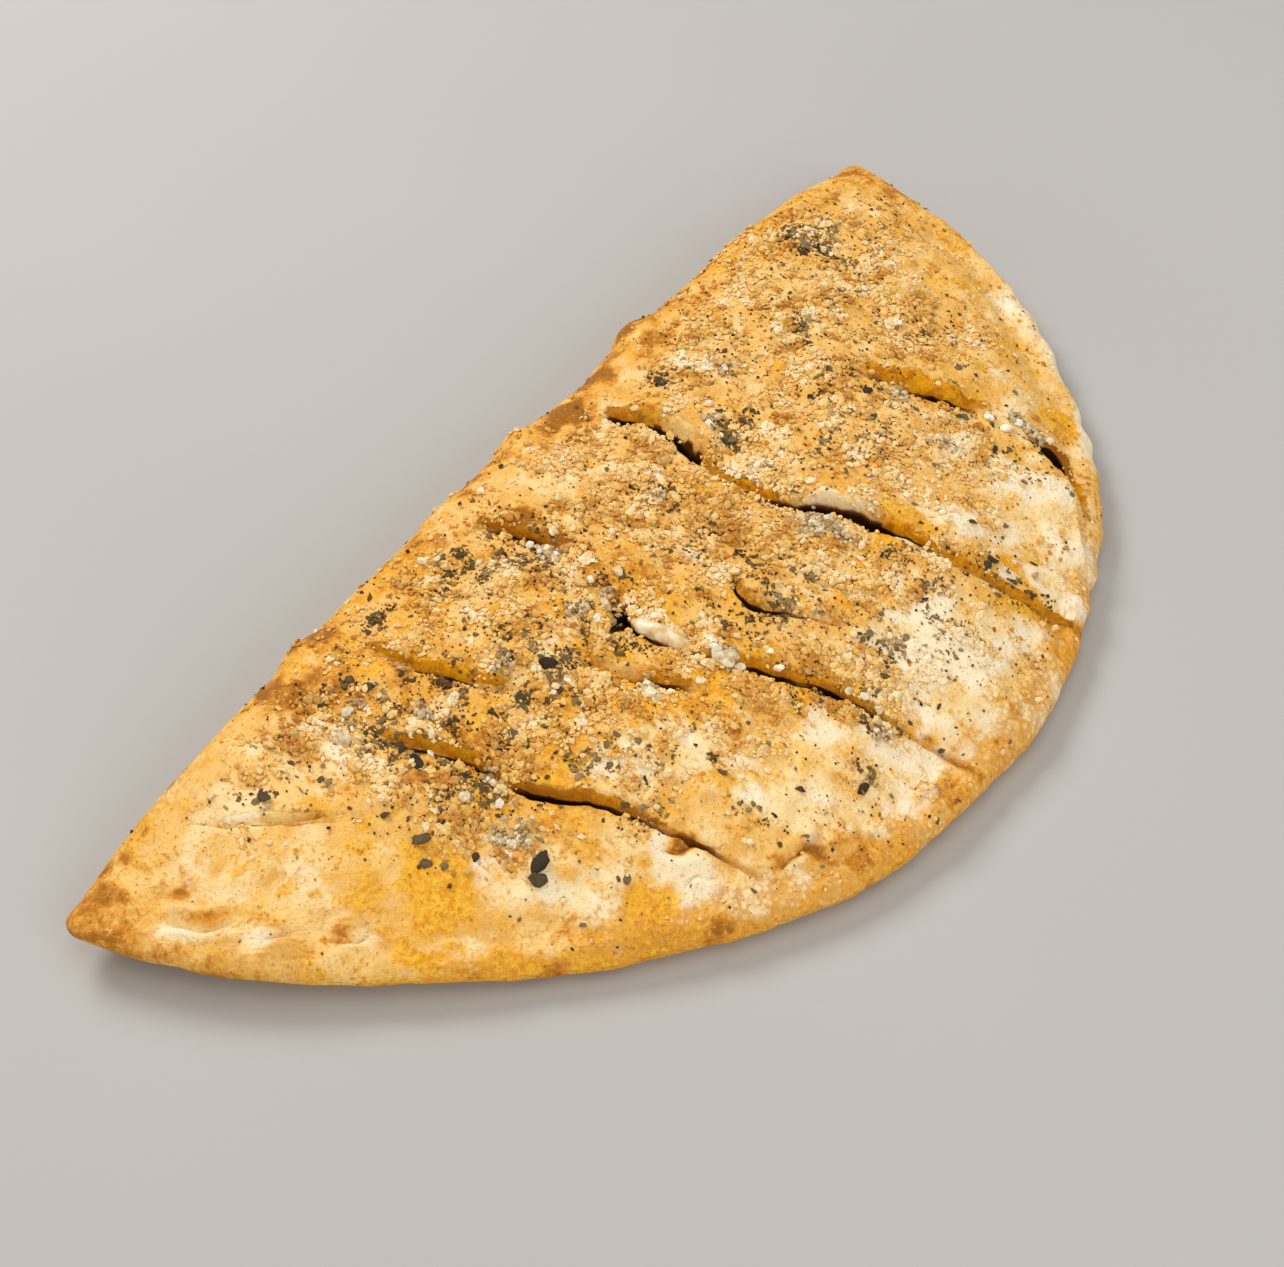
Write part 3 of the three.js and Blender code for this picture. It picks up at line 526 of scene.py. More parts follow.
def sole_height(x, y):
    a, b = rim_gap(x, y), fold_gap(x, y)
    e = np.maximum(edge_gap(x, y, a, b), 0)
    q = edge_round(e, a, b, SOLE_ROUND_RIM, SOLE_ROUND_FOLD)
    m = mid_height(x, y, a, b)
    dimples = 0.18 * (fbm(x / 11.0, y / 11.0, 0.0, 61, 2) + 1) * smooth(2, 12, e)
    return m * (1 - q) + tip_lift(x) + rim_sway(x, y) * smooth(4, 0, e) + np.maximum(dimples, 0)


def chord_tables():
    x = np.linspace(-HALF_LENGTH - 0.6, HALF_LENGTH + 0.6, 3001)
    trial = np.linspace(-22, 6, 57)
    gap = np.stack([edge_gap(x, np.full_like(x, t)) for t in trial])
    seed = trial[np.argmax(gap, axis=0)]
    sides = []
    for outside in (-175.0, 35.0):
        a, c = seed.copy(), np.full(x.shape, outside)
        for _ in range(28):
            m = (a + c) / 2
            inn = edge_gap(x, m) > 0
            a, c = np.where(inn, m, a), np.where(inn, c, m)
        sides.append(a)
    ok = np.nonzero(gap.max(0) > 0.02)[0]
    return x, sides[0], sides[1], x[ok[0]], x[ok[-1]]


CHORD_X, CHORD_RIM, CHORD_FOLD, TIP_LEFT, TIP_RIGHT = chord_tables()


def chord_at(x):
    x = np.clip(x, TIP_LEFT, TIP_RIGHT)
    return np.interp(x, CHORD_X, CHORD_RIM), np.interp(x, CHORD_X, CHORD_FOLD)


# ---------------------------------------------------------------------------------------
# the crust's mesh: lines that follow the slashes, and points along them from rim to fold
# ---------------------------------------------------------------------------------------
BETWEEN = [46, 22, 18, 12, 12, 12, 24, 40, 24, 40]


def line_plan():
    """Every line along the part: (kind, slash number, fraction or line of the band)."""
    plan = []
    n = len(ORDER)
    for k in range(n + 1):
        steps = BETWEEN[k]
        for i in range(1 if k else 0, steps):
            t = i / steps
            if k == 0:
                t = 0.45 * (1 - math.cos(math.pi / 2 * t)) + 0.55 * t
            if k == n:
                t = 0.45 * math.sin(math.pi / 2 * t) + 0.55 * t
            plan.append(("between", k, t))
        if k < n:
            for j in range(NBAND):
                plan.append(("band", k, j))
    plan.append(("between", n, 1.0))
    return plan


PLAN = line_plan()
BAND_X = [[TABLE[n]["x"] + SECTION[n]["off"][j] / TABLE[n]["c"] for j in range(NBAND)] for n in ORDER]


def plan_x(y):
    """x of every line at its own y. y is lines by points."""
    out = np.empty_like(y)
    n = len(ORDER)
    for i, (kind, k, t) in enumerate(PLAN):
        if kind == "band":
            out[i] = np.interp(y[i], YG, BAND_X[k][t])
        else:
            lo = TIP_LEFT if k == 0 else np.interp(y[i], YG, BAND_X[k - 1][NBAND - 1])
            hi = TIP_RIGHT if k == n else np.interp(y[i], YG, BAND_X[k][0])
            out[i] = lo + (hi - lo) * t
    return np.clip(out, TIP_LEFT, TIP_RIGHT)


def across(nmid, nrim, nfold):
    """Fractions of the chord from rim to fold, closer where the edges turn."""
    w = 162.0
    th = np.linspace(0, math.pi / 2, nrim + 1)
    rim = RIM_ROUND * (1 - np.cos(th)) / w
    th = np.linspace(0, math.pi / 2, nfold + 1)
    fold = 1 - (FOLD_ROUND * (1 - np.cos(th)) / w)[::-1]
    mid = np.linspace(rim[-1], fold[0], nmid + 1)
    return np.concatenate([rim[:-1], mid[:-1], fold])


V_TOP = across(158, 7, 12)
V_SOLE = across(8, 4, 5)


def settle(v):
    """x and y of each line at chord fractions v."""
    n = len(PLAN)
    y = np.tile(-150.0 * (1 - v), (n, 1))
    x = plan_x(y)
    for _ in range(26):
        a, b = chord_at(x)
        y = a + (b - a) * v
        x = 0.45 * x + 0.55 * plan_x(y)
    a, b = chord_at(x)
    return x, a + (b - a) * v


def build_top():
    x, y = settle(V_TOP)
    n, m = x.shape
    z = np.zeros((n, m))
    face, inner = np.zeros((n, m)), np.zeros((n, m))
    cream, brown = np.zeros((n, m)), np.zeros((n, m))
    rows_of = {}
    for i, (kind, k, t) in enumerate(PLAN):
        if kind == "band":
            rows_of.setdefault(k, []).append(i)
    plain = np.ones(n, bool)
    for k, rows in rows_of.items():
        plain[rows] = False
        name = ORDER[k]
        own = np.zeros((len(rows), m))
        for r, i in enumerate(rows):
            j = PLAN[i][2]
            own[r] = np.interp(y[i], YG, SECTION[name]["h"][j])
            face[i] = np.interp(y[i], YG, SECTION[name]["face"][j])
            inner[i] = np.interp(y[i], YG, SECTION[name]["in"][j])
            cream[i], brown[i] = at(name, "cream", y[i]), at(name, "brown", y[i])
        e = edge_gap(x[rows], y[rows])
        own = own * slash_fade(e)
        face[rows] *= smooth(1, 5, e)
        inner[rows] *= smooth(0.5, 5, e)
        z[rows] = top_height(x[rows], y[rows], skip=name) + own
    z[plain] = top_height(x[plain], y[plain])
    return np.stack([x, y, z], -1), {"face": face, "inner": inner, "cream": cream, "brown": brown}


def closed_body(top, sole):
    """Joins a top grid and a sole grid that share their outline."""
    n, m = top.shape[:2]
    k = sole.shape[1]
    verts = np.concatenate([top.reshape(-1, 3), sole[:, 1:-1].reshape(-1, 3)])
    t = np.arange(n * m).reshape(n, m)
    s = n * m + np.arange(n * (k - 2)).reshape(n, k - 2)
    under = np.concatenate([t[:, :1], s, t[:, -1:]], 1)
    a, b, c, d = t[:-1, :-1], t[:-1, 1:], t[1:, 1:], t[1:, :-1]
    quads = [np.stack([a, d, c, b], -1).reshape(-1, 4)]
    a, b, c, d = under[:-1, :-1], under[:-1, 1:], under[1:, 1:], under[1:, :-1]
    quads.append(np.stack([a, b, c, d], -1).reshape(-1, 4))
    return verts, np.concatenate(quads)


def make_mesh(name, verts, faces, smooth_shade=True):
    faces = faces if isinstance(faces, list) else [faces]
    me = bpy.data.meshes.new(name)
    me.vertices.add(len(verts))
    me.vertices.foreach_set("co", np.asarray(verts, np.float32).ravel())
    me.loops.add(sum(f.size for f in faces))
    me.polygons.add(sum(len(f) for f in faces))
    me.loops.foreach_set("vertex_index", np.concatenate([f.ravel() for f in faces]).astype(np.int32))
    sizes = np.concatenate([np.full(len(f), f.shape[1]) for f in faces])
    starts = np.concatenate([[0], np.cumsum(sizes)[:-1]])
    me.polygons.foreach_set("loop_start", starts.astype(np.int32))
    me.update(calc_edges=True)
    me.validate()
    me.polygons.foreach_set("use_smooth", np.full(len(me.polygons), smooth_shade))
    ob = bpy.data.objects.new(name, me)
    bpy.context.scene.collection.objects.link(ob)
    return ob


def weld(ob, dist=2e-6):
    """Merges coincident points and closes the two tips."""
    bm = bmesh.new()
    bm.from_mesh(ob.data)
    bmesh.ops.remove_doubles(bm, verts=bm.verts, dist=dist)
    bmesh.ops.delete(bm, geom=[v for v in bm.verts if not v.link_faces], context="VERTS")
    holes = [e for e in bm.edges if len(e.link_faces) == 1]
    if holes:
        bmesh.ops.holes_fill(bm, edges=holes, sides=0)
    bmesh.ops.triangulate(bm, faces=bm.faces)
    bmesh.ops.recalc_face_normals(bm, faces=bm.faces)
    bm.to_mesh(ob.data)
    bm.free()


def report_mesh(ob, label):
    bm = bmesh.new()
    bm.from_mesh(ob.data)
    opened = sum(1 for e in bm.edges if len(e.link_faces) != 2)
    print("MESH", label, "faces", len(bm.faces), "open edges", opened,
          "volume cm3", round(bm.calc_volume() * 1e6, 1))
    bm.free()


top, masks = build_top()
xs_, ys_ = settle(V_SOLE)
sole = np.stack([xs_, ys_, sole_height(xs_, ys_)], -1)
sole[:, 0], sole[:, -1] = top[:, 0], top[:, -1]
verts, quads = closed_body(top, sole)
crust = make_mesh("crust_surface", place(verts), quads)
weld(crust)
print("PLAN lines", len(PLAN), "points", len(V_TOP), "tips", TIP_LEFT, TIP_RIGHT)
report_mesh(crust, "outer")


# ---------------------------------------------------------------------------------------
# the room in the crust, and the filling in it
# ---------------------------------------------------------------------------------------
def room_span(x, inset):
    a, b = chord_at(x)
    end = np.clip((FILL_END - np.abs(x)) / 40, 0, 1)
    squeeze = np.maximum(np.sqrt(1 - (1 - end) ** 2), 0.16)
    lo, hi = a + SEAL_WIDTH, b - FOLD_WALL
    mid = lo + (hi - lo) * 0.62
    return mid + (lo - mid) * squeeze + inset, mid + (hi - mid) * squeeze - inset


def room_heights(x, y):
    a, b = rim_gap(x, y), fold_gap(x, y)
    f = share(a, b)
    wall = SEAL_WIDTH * (1 - f) + FOLD_WALL * f
    t = np.clip((edge_gap(x, y) - wall) / 10, 0, 1)
    q = np.sqrt(1 - (1 - t) ** 2)
    low = CRUST_SOLE + tip_lift(x)
    rise = crown(x, y) - CRUST_TOP - CRUST_SOLE
    return low, low + np.maximum(rise * (0.35 + 0.65 * q), 2.4)


def sag(x, y):
    """The filling sinks under the open slashes."""
    out = np.zeros(np.shape(x))
    for name in ORDER:
        xs, s, depth, gap, c = (at(name, k, y) for k in ("x", "s", "depth", "gap", "c"))
        d = (x - xs) * c
        out = np.maximum(out, s * np.maximum(depth - 4.5, 0) * 0.55 * np.exp(-(d / (2.2 + gap)) ** 2))
    return out


def room_body(name, nx, nv, inset, top_gap, sole_gap, filling):
    ends = FILL_END - inset
    x = np.linspace(-ends, ends, nx)[:, None] + np.zeros((1, nv))
    v = (1 - np.cos(np.linspace(0, math.pi, nv))) / 2 * 0.5 + np.linspace(0, 1, nv) * 0.5
    a, b = room_span(x, inset)
    y = a + (b - a) * v
    low, high = room_heights(x, y)
    high = high - top_gap
    if filling:
        e = smooth(0, 9, np.minimum(y - a, b - y))
        bumps = 0.5 + 0.5 * fbm(x / 4.2, y / 4.2, 0.0, 71, 3)
        high = high - (sag(x, y) + 1.3 * np.clip(bumps, 0, 1)) * e * smooth(0, 6, high - low)
    high = np.maximum(high, low + 1.2)
    top_grid = np.stack([x, y, high], -1)
    xs = np.linspace(-ends, ends, nx)[:, None] + np.zeros((1, 8))
    a, b = room_span(xs, inset)
    ys = a + (b - a) * np.linspace(0, 1, 8)
    sole_grid = np.stack([xs, ys, room_heights(xs, ys)[0] + sole_gap], -1)
    vv, qq = closed_body(top_grid, sole_grid)
    ob = make_mesh(name, place(vv), qq)
    weld(ob)
    return ob


room = room_body("room", 90, 44, 0.0, 0.0, 0.0, False)
filling = room_body("cheese_filling", 180, 80, 0.5, 0.45, 0.4, True)

cut = crust.modifiers.new("room", "BOOLEAN")
cut.operation, cut.object, cut.solver = "DIFFERENCE", room, "MANIFOLD"
dg = bpy.context.evaluated_depsgraph_get()
hollow = bpy.data.meshes.new_from_object(crust.evaluated_get(dg))
crust.modifiers.remove(cut)
crust.data = hollow
bpy.data.objects.remove(room)
hollow.polygons.foreach_set("use_smooth", np.ones(len(hollow.polygons), bool))
report_mesh(crust, "crust")
report_mesh(filling, "filling")

# ---------------------------------------------------------------------------------------
# where the colours lie: listed patches (x, y, radius and, for some, strength)
# ---------------------------------------------------------------------------------------
CREAM = [
    (3, -136, 14.7), (-28, -137, 9.1), (-80, -114, 7.5, 0.8), (-83, -100, 6.9, 0.5), (76, -121, 9.6, 0.65), (110, -113, 3.7),
    (65, -137, 5.3), (136, -82, 5.9), (142, -69, 4.8), (-102, -27, 4.0), (-130, -23, 6.4, 0.6), (-154, -21, 4.8, 0.6),
    (-165, -21, 4.3, 0.7), (-152, -41, 3.7), (-136, -44, 5.3, 0.5), (-108, -84, 6.9), (-100, -97, 6.9),
    (-124, -81, 4.8, 0.4), (-26, -124, 6.9, 0.7), (-51, -108, 8.0, 0.6), (49, -143, 5.3), (47, -108, 6.4), (59, -93, 5.3),
    (28, -139, 7.5), (-46, -126, 6.4, 0.6), (-6, -62, 3.7), (-42, -142, 3.7), (-113, -24, 4.8, 0.7), (-142, -26, 5.3, 0.5),
    (-71, -125, 4.8, 0.5), (70, -109, 5.9), (95, -100, 3.7), (-30, -115, 4.8), (72, -22, 3.7), (134, -37, 4.3),
    (-2, -19, 4.3), (-81.7, -12.9, 3.6), (-86, -5, 2.8), (-90.1, -21.3, 3.8), (-97.2, -17.8, 3.0),
    (-103.6, -26.1, 3.6), (-111.9, -12.7, 2.6), (75.4, -108.7, 4.0), (72, -120, 4.5, 0.6), (50, -129, 5.5, 0.6),
    (134.4, -92.9, 4.5), (127.9, -101.3, 4.5), (117.1, -110.2, 4.5), (104.9, -118.0, 4.0),
    (47, -112, 7.0, 0.4), (56, -112, 7.0, 0.4), (12, -130, 6.0, 0.8), (-1, -122, 5.0, 0.7), (8, -122, 6.0, 0.9),
    (16, -135, 6.0, 0.8), (-18, -141, 4.0, 0.6), (-10, -145, 4.0, 0.5), (-74, -123, 5.0, 0.35),
    (-64, -129, 4.5, 0.7), (-148, 2, 5.0, 0.6), (-133, 3, 5.0, 0.6), (-132, -14, 8.0, 0.4), (-125, -42, 6.0, 0.35),
    (-138, -54, 5.0, 0.4), (12, -36, 5.0, 0.7), (5, -14, 5.0, 0.7), (108, -87, 4.0, 0.7), (56, -142, 4.0, 0.8),
    (56, -71, 6.0, 0.6), (75, -90, 7.0, 0.7), (-15, -142, 5.0, 0.5), (-64, -90, 8.0, 0.5), (-56, -98, 7.0, 0.5),
    (-74, -82, 7.0, 0.5), (-49, -53, 7.0, 1.0), (8, -88, 7.0, 0.5), (20, -98, 7.0, 0.5), (-2, -64, 5.0, 0.4),
    (10, -34, 6.0, 0.5), (-64, -84, 6.0, 0.4), (-116, -58, 5.0, 0.3), (-105, -78, 5.0, 0.4), (-104, -64, 6.0, 0.5),
    (-69, -79, 5.0, 0.6), (13, -37, 8.0, 0.6), (43, -118, 6.0, 0.8), (3, -100, 6.0, 0.6), (15, -113, 6.0, 0.6),
    (33, -131, 5.0, 0.5), (-77, -116, 5.0, 0.4), (-83, -114, 5.0, 0.4), (-70, -120, 6.0, 0.5), (-66, -134, 4.0, 0.5),
    (-77, -85, 4.0, 0.5), (-50, -17, 4.0, 0.4), (-120, -17, 5.0, 0.4), (42, -42, 4.0, 0.5), (-22, -137, 4.0, 0.4),
]
GOLD = [
    (-123, -65, 8.6, 0.85), (-114, -69, 7.4, 0.9), (-120, -86, 5.3), (105, -108, 4.8), (39, -130, 6.4), (35, -99, 5.9),
    (-94, -110, 7.5), (-48, -52, 7.5, 0.5), (-51, -15, 6.4), (-45, -68, 6.4), (-41, -94, 7.5), (-72, -75, 7.5),
    (-57, -82, 6.4), (-25, -96, 4.8), (5, -102, 5.9), (45, -118, 5.9), (-82, -35, 5.3), (-81, -16, 4.8),
    (-23, -111, 5.9), (15, -51, 4.8), (-46, -38, 5.3), (-122, -46, 5.9, 0.35), (-93, -62, 5.9), (-83, -77, 6.4),
    (-12, -139, 4.8), (33, -147, 3.7), (62, -45, 4.8), (105, -44, 4.8), (86, -84, 4.8), (-117, -33, 4.8),
    (35, -18, 4.8), (-23, -63, 6.0, 1.2), (106, -107, 5.5, 0.8), (-41, -145, 5.0, 1.0),
]
TOAST = [
    (-95, -6, 5.9, 0.6), (36, -4, 5.3), (10, 11, 3.7), (-22, -19, 6.4), (59, -5, 3.5), (-168, -6, 6.9),
    (166, -6, 5.0), (-86, -124, 3.2, 0.6), (-53, -139, 4.3), (-15, -148, 4.0, 0.5), (-58, -131, 2.9), (-12, -156, 2.9),
    (-152, -19, 1.9, 0.7), (-137, -55, 1.6, 0.7), (-148, -40, 2.1, 0.8), (-104, -109, 4.3), (-88, -125, 3.0, 0.35),
    (160, -59, 2.7), (80, -7, 2.7), (-78, -2, 3.7), (-42, -43, 3.2, 0.5), (0, -75, 3.7), (14, -113, 3.2, 0.2),
    (-8, -82, 4.8), (-36, -6, 3.7), (17, -5, 3.2), (130, -8, 3.2), (164, -19, 2.7), (-55, -6, 2.7),
    (-3, -148, 2.7), (44, -150, 2.7), (-30, -147, 3.2), (-48, -141, 3.2), (-115, -99, 3.7), (-127, -85, 3.7),
    (-95.9, -4.7, 6.0, 0.6), (-98, -11, 4.5), (-84, 11, 4.0, 0.8), (-102, -2, 4.0, 0.9), (135, -52, 3.0, 0.8),
    (131.4, -58, 3.2), (118.6, -63.7, 3.0, 0.8), (119.7, -69.6, 3.0, 0.9), (128, -71.5, 3.2, 0.9),
    (-140, -68, 3.2), (87, -129, 2.4), (123, -99, 2.7), (-83, -54, 4.8), (9, -64, 4.3), (21, -28, 3.2),
    (-26, -36, 5.0, 0.7), (-40, -34, 5.0, 0.6), (-15, -41, 5.0, 0.8), (28, -2, 5.0, 0.9), (67, 6, 5.0, 0.8),
    (14, -2, 5.0, 0.7), (-75, -8, 5.0, 0.4), (-59, -8, 5.0, 0.4), (-89, -17, 4.0, 0.6), (-76, -64, 4.0, 0.6),
    (-27, -45, 5.0, 0.6), (-16, -53, 5.0, 0.7), (-21, -63, 4.0, 0.6), (-33, -80, 4.0, 0.5), (-91, -37, 4.0, 0.6),
    (21, -7, 5.0, 0.7), (12, -9, 5.0, 0.5), (75, 8, 5.0, 0.8), (85, 8, 5.0, 0.7), (-24, -31, 5.0, 0.6),
    (-7, -63, 5.0, 0.6), (-21, -69, 4.0, 0.6),
    (45, 0, 8.0, 0.6), (20, 1, 6.0, 0.6), (58, 4, 5.0, 0.6), (72, 9, 6.0, 0.5), (-100, -47, 4.0, 0.5),
    (-23, -148, 4.0, 0.8), (-12, -151, 3.6, 0.8), (-98, -107, 4.0, 0.7), (-86, -40, 5.0, 0.7), (-75, -60, 4.0, 0.6),
    (62, -57, 5.0, 0.9), (70, 9, 6.0, 1.0), (14, -13, 6.0, 0.7), (48, 3, 7.0, 0.7), (30, 3, 6.0, 0.7), (-5, 4, 6.0, 0.6), (-9, -95, 4.0, 0.5), (-107, -22, 4.0, 0.5),
    (-28, -63, 4.0, 0.5),     (-93, -17, 4.0, 0.6), (-94, -12, 5.0, 0.5),
]
HERB = [
    (-41, -19, 10.7, 1.0), (-29, -32, 9.1, 0.8), (-56, -46, 10.7, 1.0), (-77, -37, 10.7, 1.0),
    (-88, -25, 9.1, 0.9), (-61, -61, 9.6, 0.8), (-32, -53, 9.1, 0.7), (-80, -58, 9.1, 0.8),
    (-96, -58, 9.1, 0.9), (-93, -38, 8.0, 0.8), (-93, -17, 6.9, 0.5), (-40, -64, 9.1, 0.6),
    (-72, -78, 6.9, 0.5), (50, -24, 6.9, 1.0), (62, -31, 5.9, 0.8), (38, -48, 6.9, 1.2), (8, -43, 9.1, 0.5),
    (32, -64, 10.7, 0.6), (2, -66, 10.7, 0.6), (1, -87, 11.7, 0.6), (54, -75, 10.7, 0.7),
    (79, -66, 10.7, 0.7), (83, -38, 10.7, 0.6), (108, -39, 10.7, 0.6), (121, -18, 9.1, 0.9),
    (139, -27, 9.1, 0.5), (108, -65, 9.1, 0.5), (81, -90, 8.0, 0.5), (25, -105, 9.1, 0.6),
    (38, -121, 5.9, 0.3), (-1, -118, 8.0, 0.7), (-18, -116, 6.4, 0.9), (-26, -107, 8.0, 0.3),
    (-21, -81, 9.1, 0.6), (-36, -130, 5.3, 0.7), (15, -128, 9.1, 0.2), (19, -117, 9.1, 0.3),
    (41, -134, 6.9, 0.4), (84, -114, 8.0, 0.2), (77, -101, 8.0, 0.4), (-53, -96, 9.1, 0.3),
    (62.5, -57, 5.5, 1.5), (-20, -128, 4.0, 0.9), (38, -51, 5.5, 0.9), (46, -17, 6.0, 0.4), (120, -20, 6.0, 1.0),
    (-60, -67, 5.5, 0.9), (-89, -60, 5.0, 0.8), (-38, -18, 6.0, 0.9),
    (-118, -22, 6.9, 0.2), (-126, -19, 6.4, 0.25), (-63, -114, 8.0, 0.3), (-74, -93, 8.0, 0.3),
    (-66, -10, 6.0, 0.8), (-91, -15, 5.0, 0.8), (64, -56, 5.0, 0.9), (118, -33, 6.0, 0.8), (121, -14, 5.0, 0.5),
    (-76, -64, 5.0, 1.1), (-85, -40, 5.0, 1.0), (-9, -94, 5.0, 0.8), (-100, -38, 4.0, 0.8), (44, -101, 4.0, 0.7),
]
CHEESE = [
    (-26, -36, 16.0, 1.0), (-34, -23, 13.3, 0.9), (-29, -57, 11.7, 0.7), (-32, -76, 10.7, 0.8),
    (-29, -89, 9.1, 1.2), (-46, -56, 11.7, 1.0), (-61, -44, 16.0, 0.9), (-84, -37, 13.3, 0.9),
    (-96, -58, 13.3, 1.0), (-92, -19, 10.7, 0.8), (3, -28, 13.3, 0.7), (8, -50, 13.3, 0.9),
    (32, -52, 13.3, 0.9), (56, -30, 13.3, 1.0), (58, -54, 13.3, 1.0), (45, -81, 13.3, 1.0),
    (21, -86, 9.1, 1.4), (68, -79, 13.3, 1.0), (70, -96, 9.1, 1.0), (87, -36, 16.0, 0.9),
    (120, -31, 16.0, 0.8), (105, -11, 13.3, 0.7), (110, -60, 13.3, 0.8), (5, -82, 13.3, 0.9),
    (3, -100, 13.3, 0.8), (25, -105, 13.3, 0.9), (-16, -53, 10.7, 0.9), (19, -23, 10.7, 0.9),
    (68, -15, 10.7, 0.7), (-19, -103, 10.7, 0.9), (-16, -118, 9.1, 0.9), (-45, -97, 10.7, 0.35),
    (-59, -78, 13.3, 0.35), (-73, -64, 13.3, 0.55), (-45, -131, 9.1, 0.6), (11, -125, 13.3, 0.4),
    (29, -132, 10.7, 0.5), (52, -113, 9.1, 0.5), (90, -113, 8.0, 0.4), (-107, -46, 10.7, 0.6),
    (-106, -18, 9.1, 0.6), (-126, -19, 8.0, 0.4), (-98, -76, 5.3, 1.4), (-93, -67, 6.4, 1.2),
    (-70, -91, 10.7, 0.3), (-34, -141, 8.0, 0.5), (-53, -19, 13.3, 0.6),
]
BIG_FLECKS = [
    (-77, -60, 2.1), (-71, -84, 1.9), (-103, -85, 2.7), (-99.5, -83, 3.2), (-111, -58, 2.4), (-107, -70, 1.6),
    (-115, -62, 1.6), (-111, -47, 1.6), (-108, -15, 1.6), (-112, -31, 1.6), (-90, -101, 1.3),
    (-113, -66, 1.3), (-112, -29, 1.3), (-55, -48, 1.9), (-57, -55, 2.1), (-53, -46, 1.6), (-68, -55, 1.9),
    (-75, -52, 1.6), (-39, -18, 1.6), (-46, -17, 1.6), (-61, -61, 1.3), (-62, -85, 1.1), (-62, -88, 1.1),
    (-43, -109, 1.1), (39, -49, 2.1), (34, -48, 1.9), (43, -19, 2.1), (51, -23, 1.9), (96, -64, 1.3),
    (99, -79, 1.3), (79, -102, 1.6), (15, -108, 1.3), (-37, -132, 1.6), (-48, -121, 1.3), (-4, -116, 1.3),
    (42, -122, 2.1), (39, -122, 1.6), (-95, -39, 2.1), (-96, -45, 1.9), (-86, -22, 1.9), (-86, -17, 1.6),
    (118, -12, 2.1), (117, -18, 1.9), (119, -22, 1.9), (118, -31, 1.6), (116, -37, 1.3), (71, -67, 1.9),
    (61, -68, 1.6), (71, -55, 1.6), (4, -119, 1.3), (-17, -129, 1.6), (-2, -112, 1.3), (-13, -140, 1.1),
    (-124, -22, 1.9), (-126, -21, 1.3), (-5, -2, 1.1), (59, -95, 1.3), (56, -118, 1.1), (49, -112, 1.3),
]
CHUNKS = [
    (-33, -55, 2.1), (-49, -79, 2.4), (-49, -81, 1.6), (-39, -87, 1.6), (-46, -77, 1.3), (-29, -89, 2.4),
    (-29, -92, 1.9), (-38, -56, 1.6), (-38, -61, 1.3), (-30, -86, 2.1), (21, -77, 1.3), (21, -81, 1.6),
    (24, -83, 1.6), (24, -87, 1.6), (24, -90, 1.3), (20, -84, 1.3), (-100, -72, 1.3), (-99, -75, 1.6),
    (-97, -76, 1.3), (-97, -78, 1.3), (-93, -67, 1.6), (-97, -60, 1.9), (-102, -75, 1.1), (-94, -23, 1.9),
    (-100, -27, 2.1), (-25, -31, 2.1), (-26, -35, 1.9), (-26, -27, 1.6), (-28, -41, 1.6), (-29, -48, 1.6),
    (-23, -52, 1.6), (-38, -50, 1.3), (5, -45, 1.1), (34, -41, 1.3), (75, -75, 1.1), (69, -90, 1.3),
    (88, -95, 1.9), (88, -100, 2.1), (93, -101, 1.9), (-17, -120, 1.6), (-17, -124, 1.3), (-18, -116, 1.3),
    (-22, -96, 1.3), (-24, -100, 1.3), (-92, -46, 1.3), (-37, -19, 1.3),
]


# small heaps of soft white crumbs: x, y, half width, pieces
HEAPS = [
    (22.4, -80.5, 2.4, 60), (22.8, -85.5, 2.6, 70), (22.6, -90.5, 2.2, 40), (19.0, -81.5, 3.0, 40),
    (-26.4, -31.5, 2.2, 36), (-27.2, -36.0, 2.4, 40), (-31.8, -53.5, 1.6, 22), (-38.5, -50.0, 2.6, 26),
    (94.0, -99.5, 1.8, 26), (94.0, -103.0, 2.0, 30), (92.0, -107.5, 2.0, 26), (-96.0, -76.5, 2.8, 44),
    (-100.0, -72.0, 2.4, 26), (-89.0, -61.0, 2.2, 26), (-47.5, -78.0, 2.0, 26), (-30.0, -88.0, 2.6, 26),
    (-20.5, -127.0, 2.6, 30), (69.0, -92.0, 3.0, 24), (56.0, -31.0, 3.4, 26), (-63.0, -47.0, 3.0, 24),
    (-84.0, -38.0, 3.0, 24), (76.0, -73.0, 2.4, 30), (5.0, -44.0, 2.4, 18), (35.0, -41.5, 2.2, 20),
]

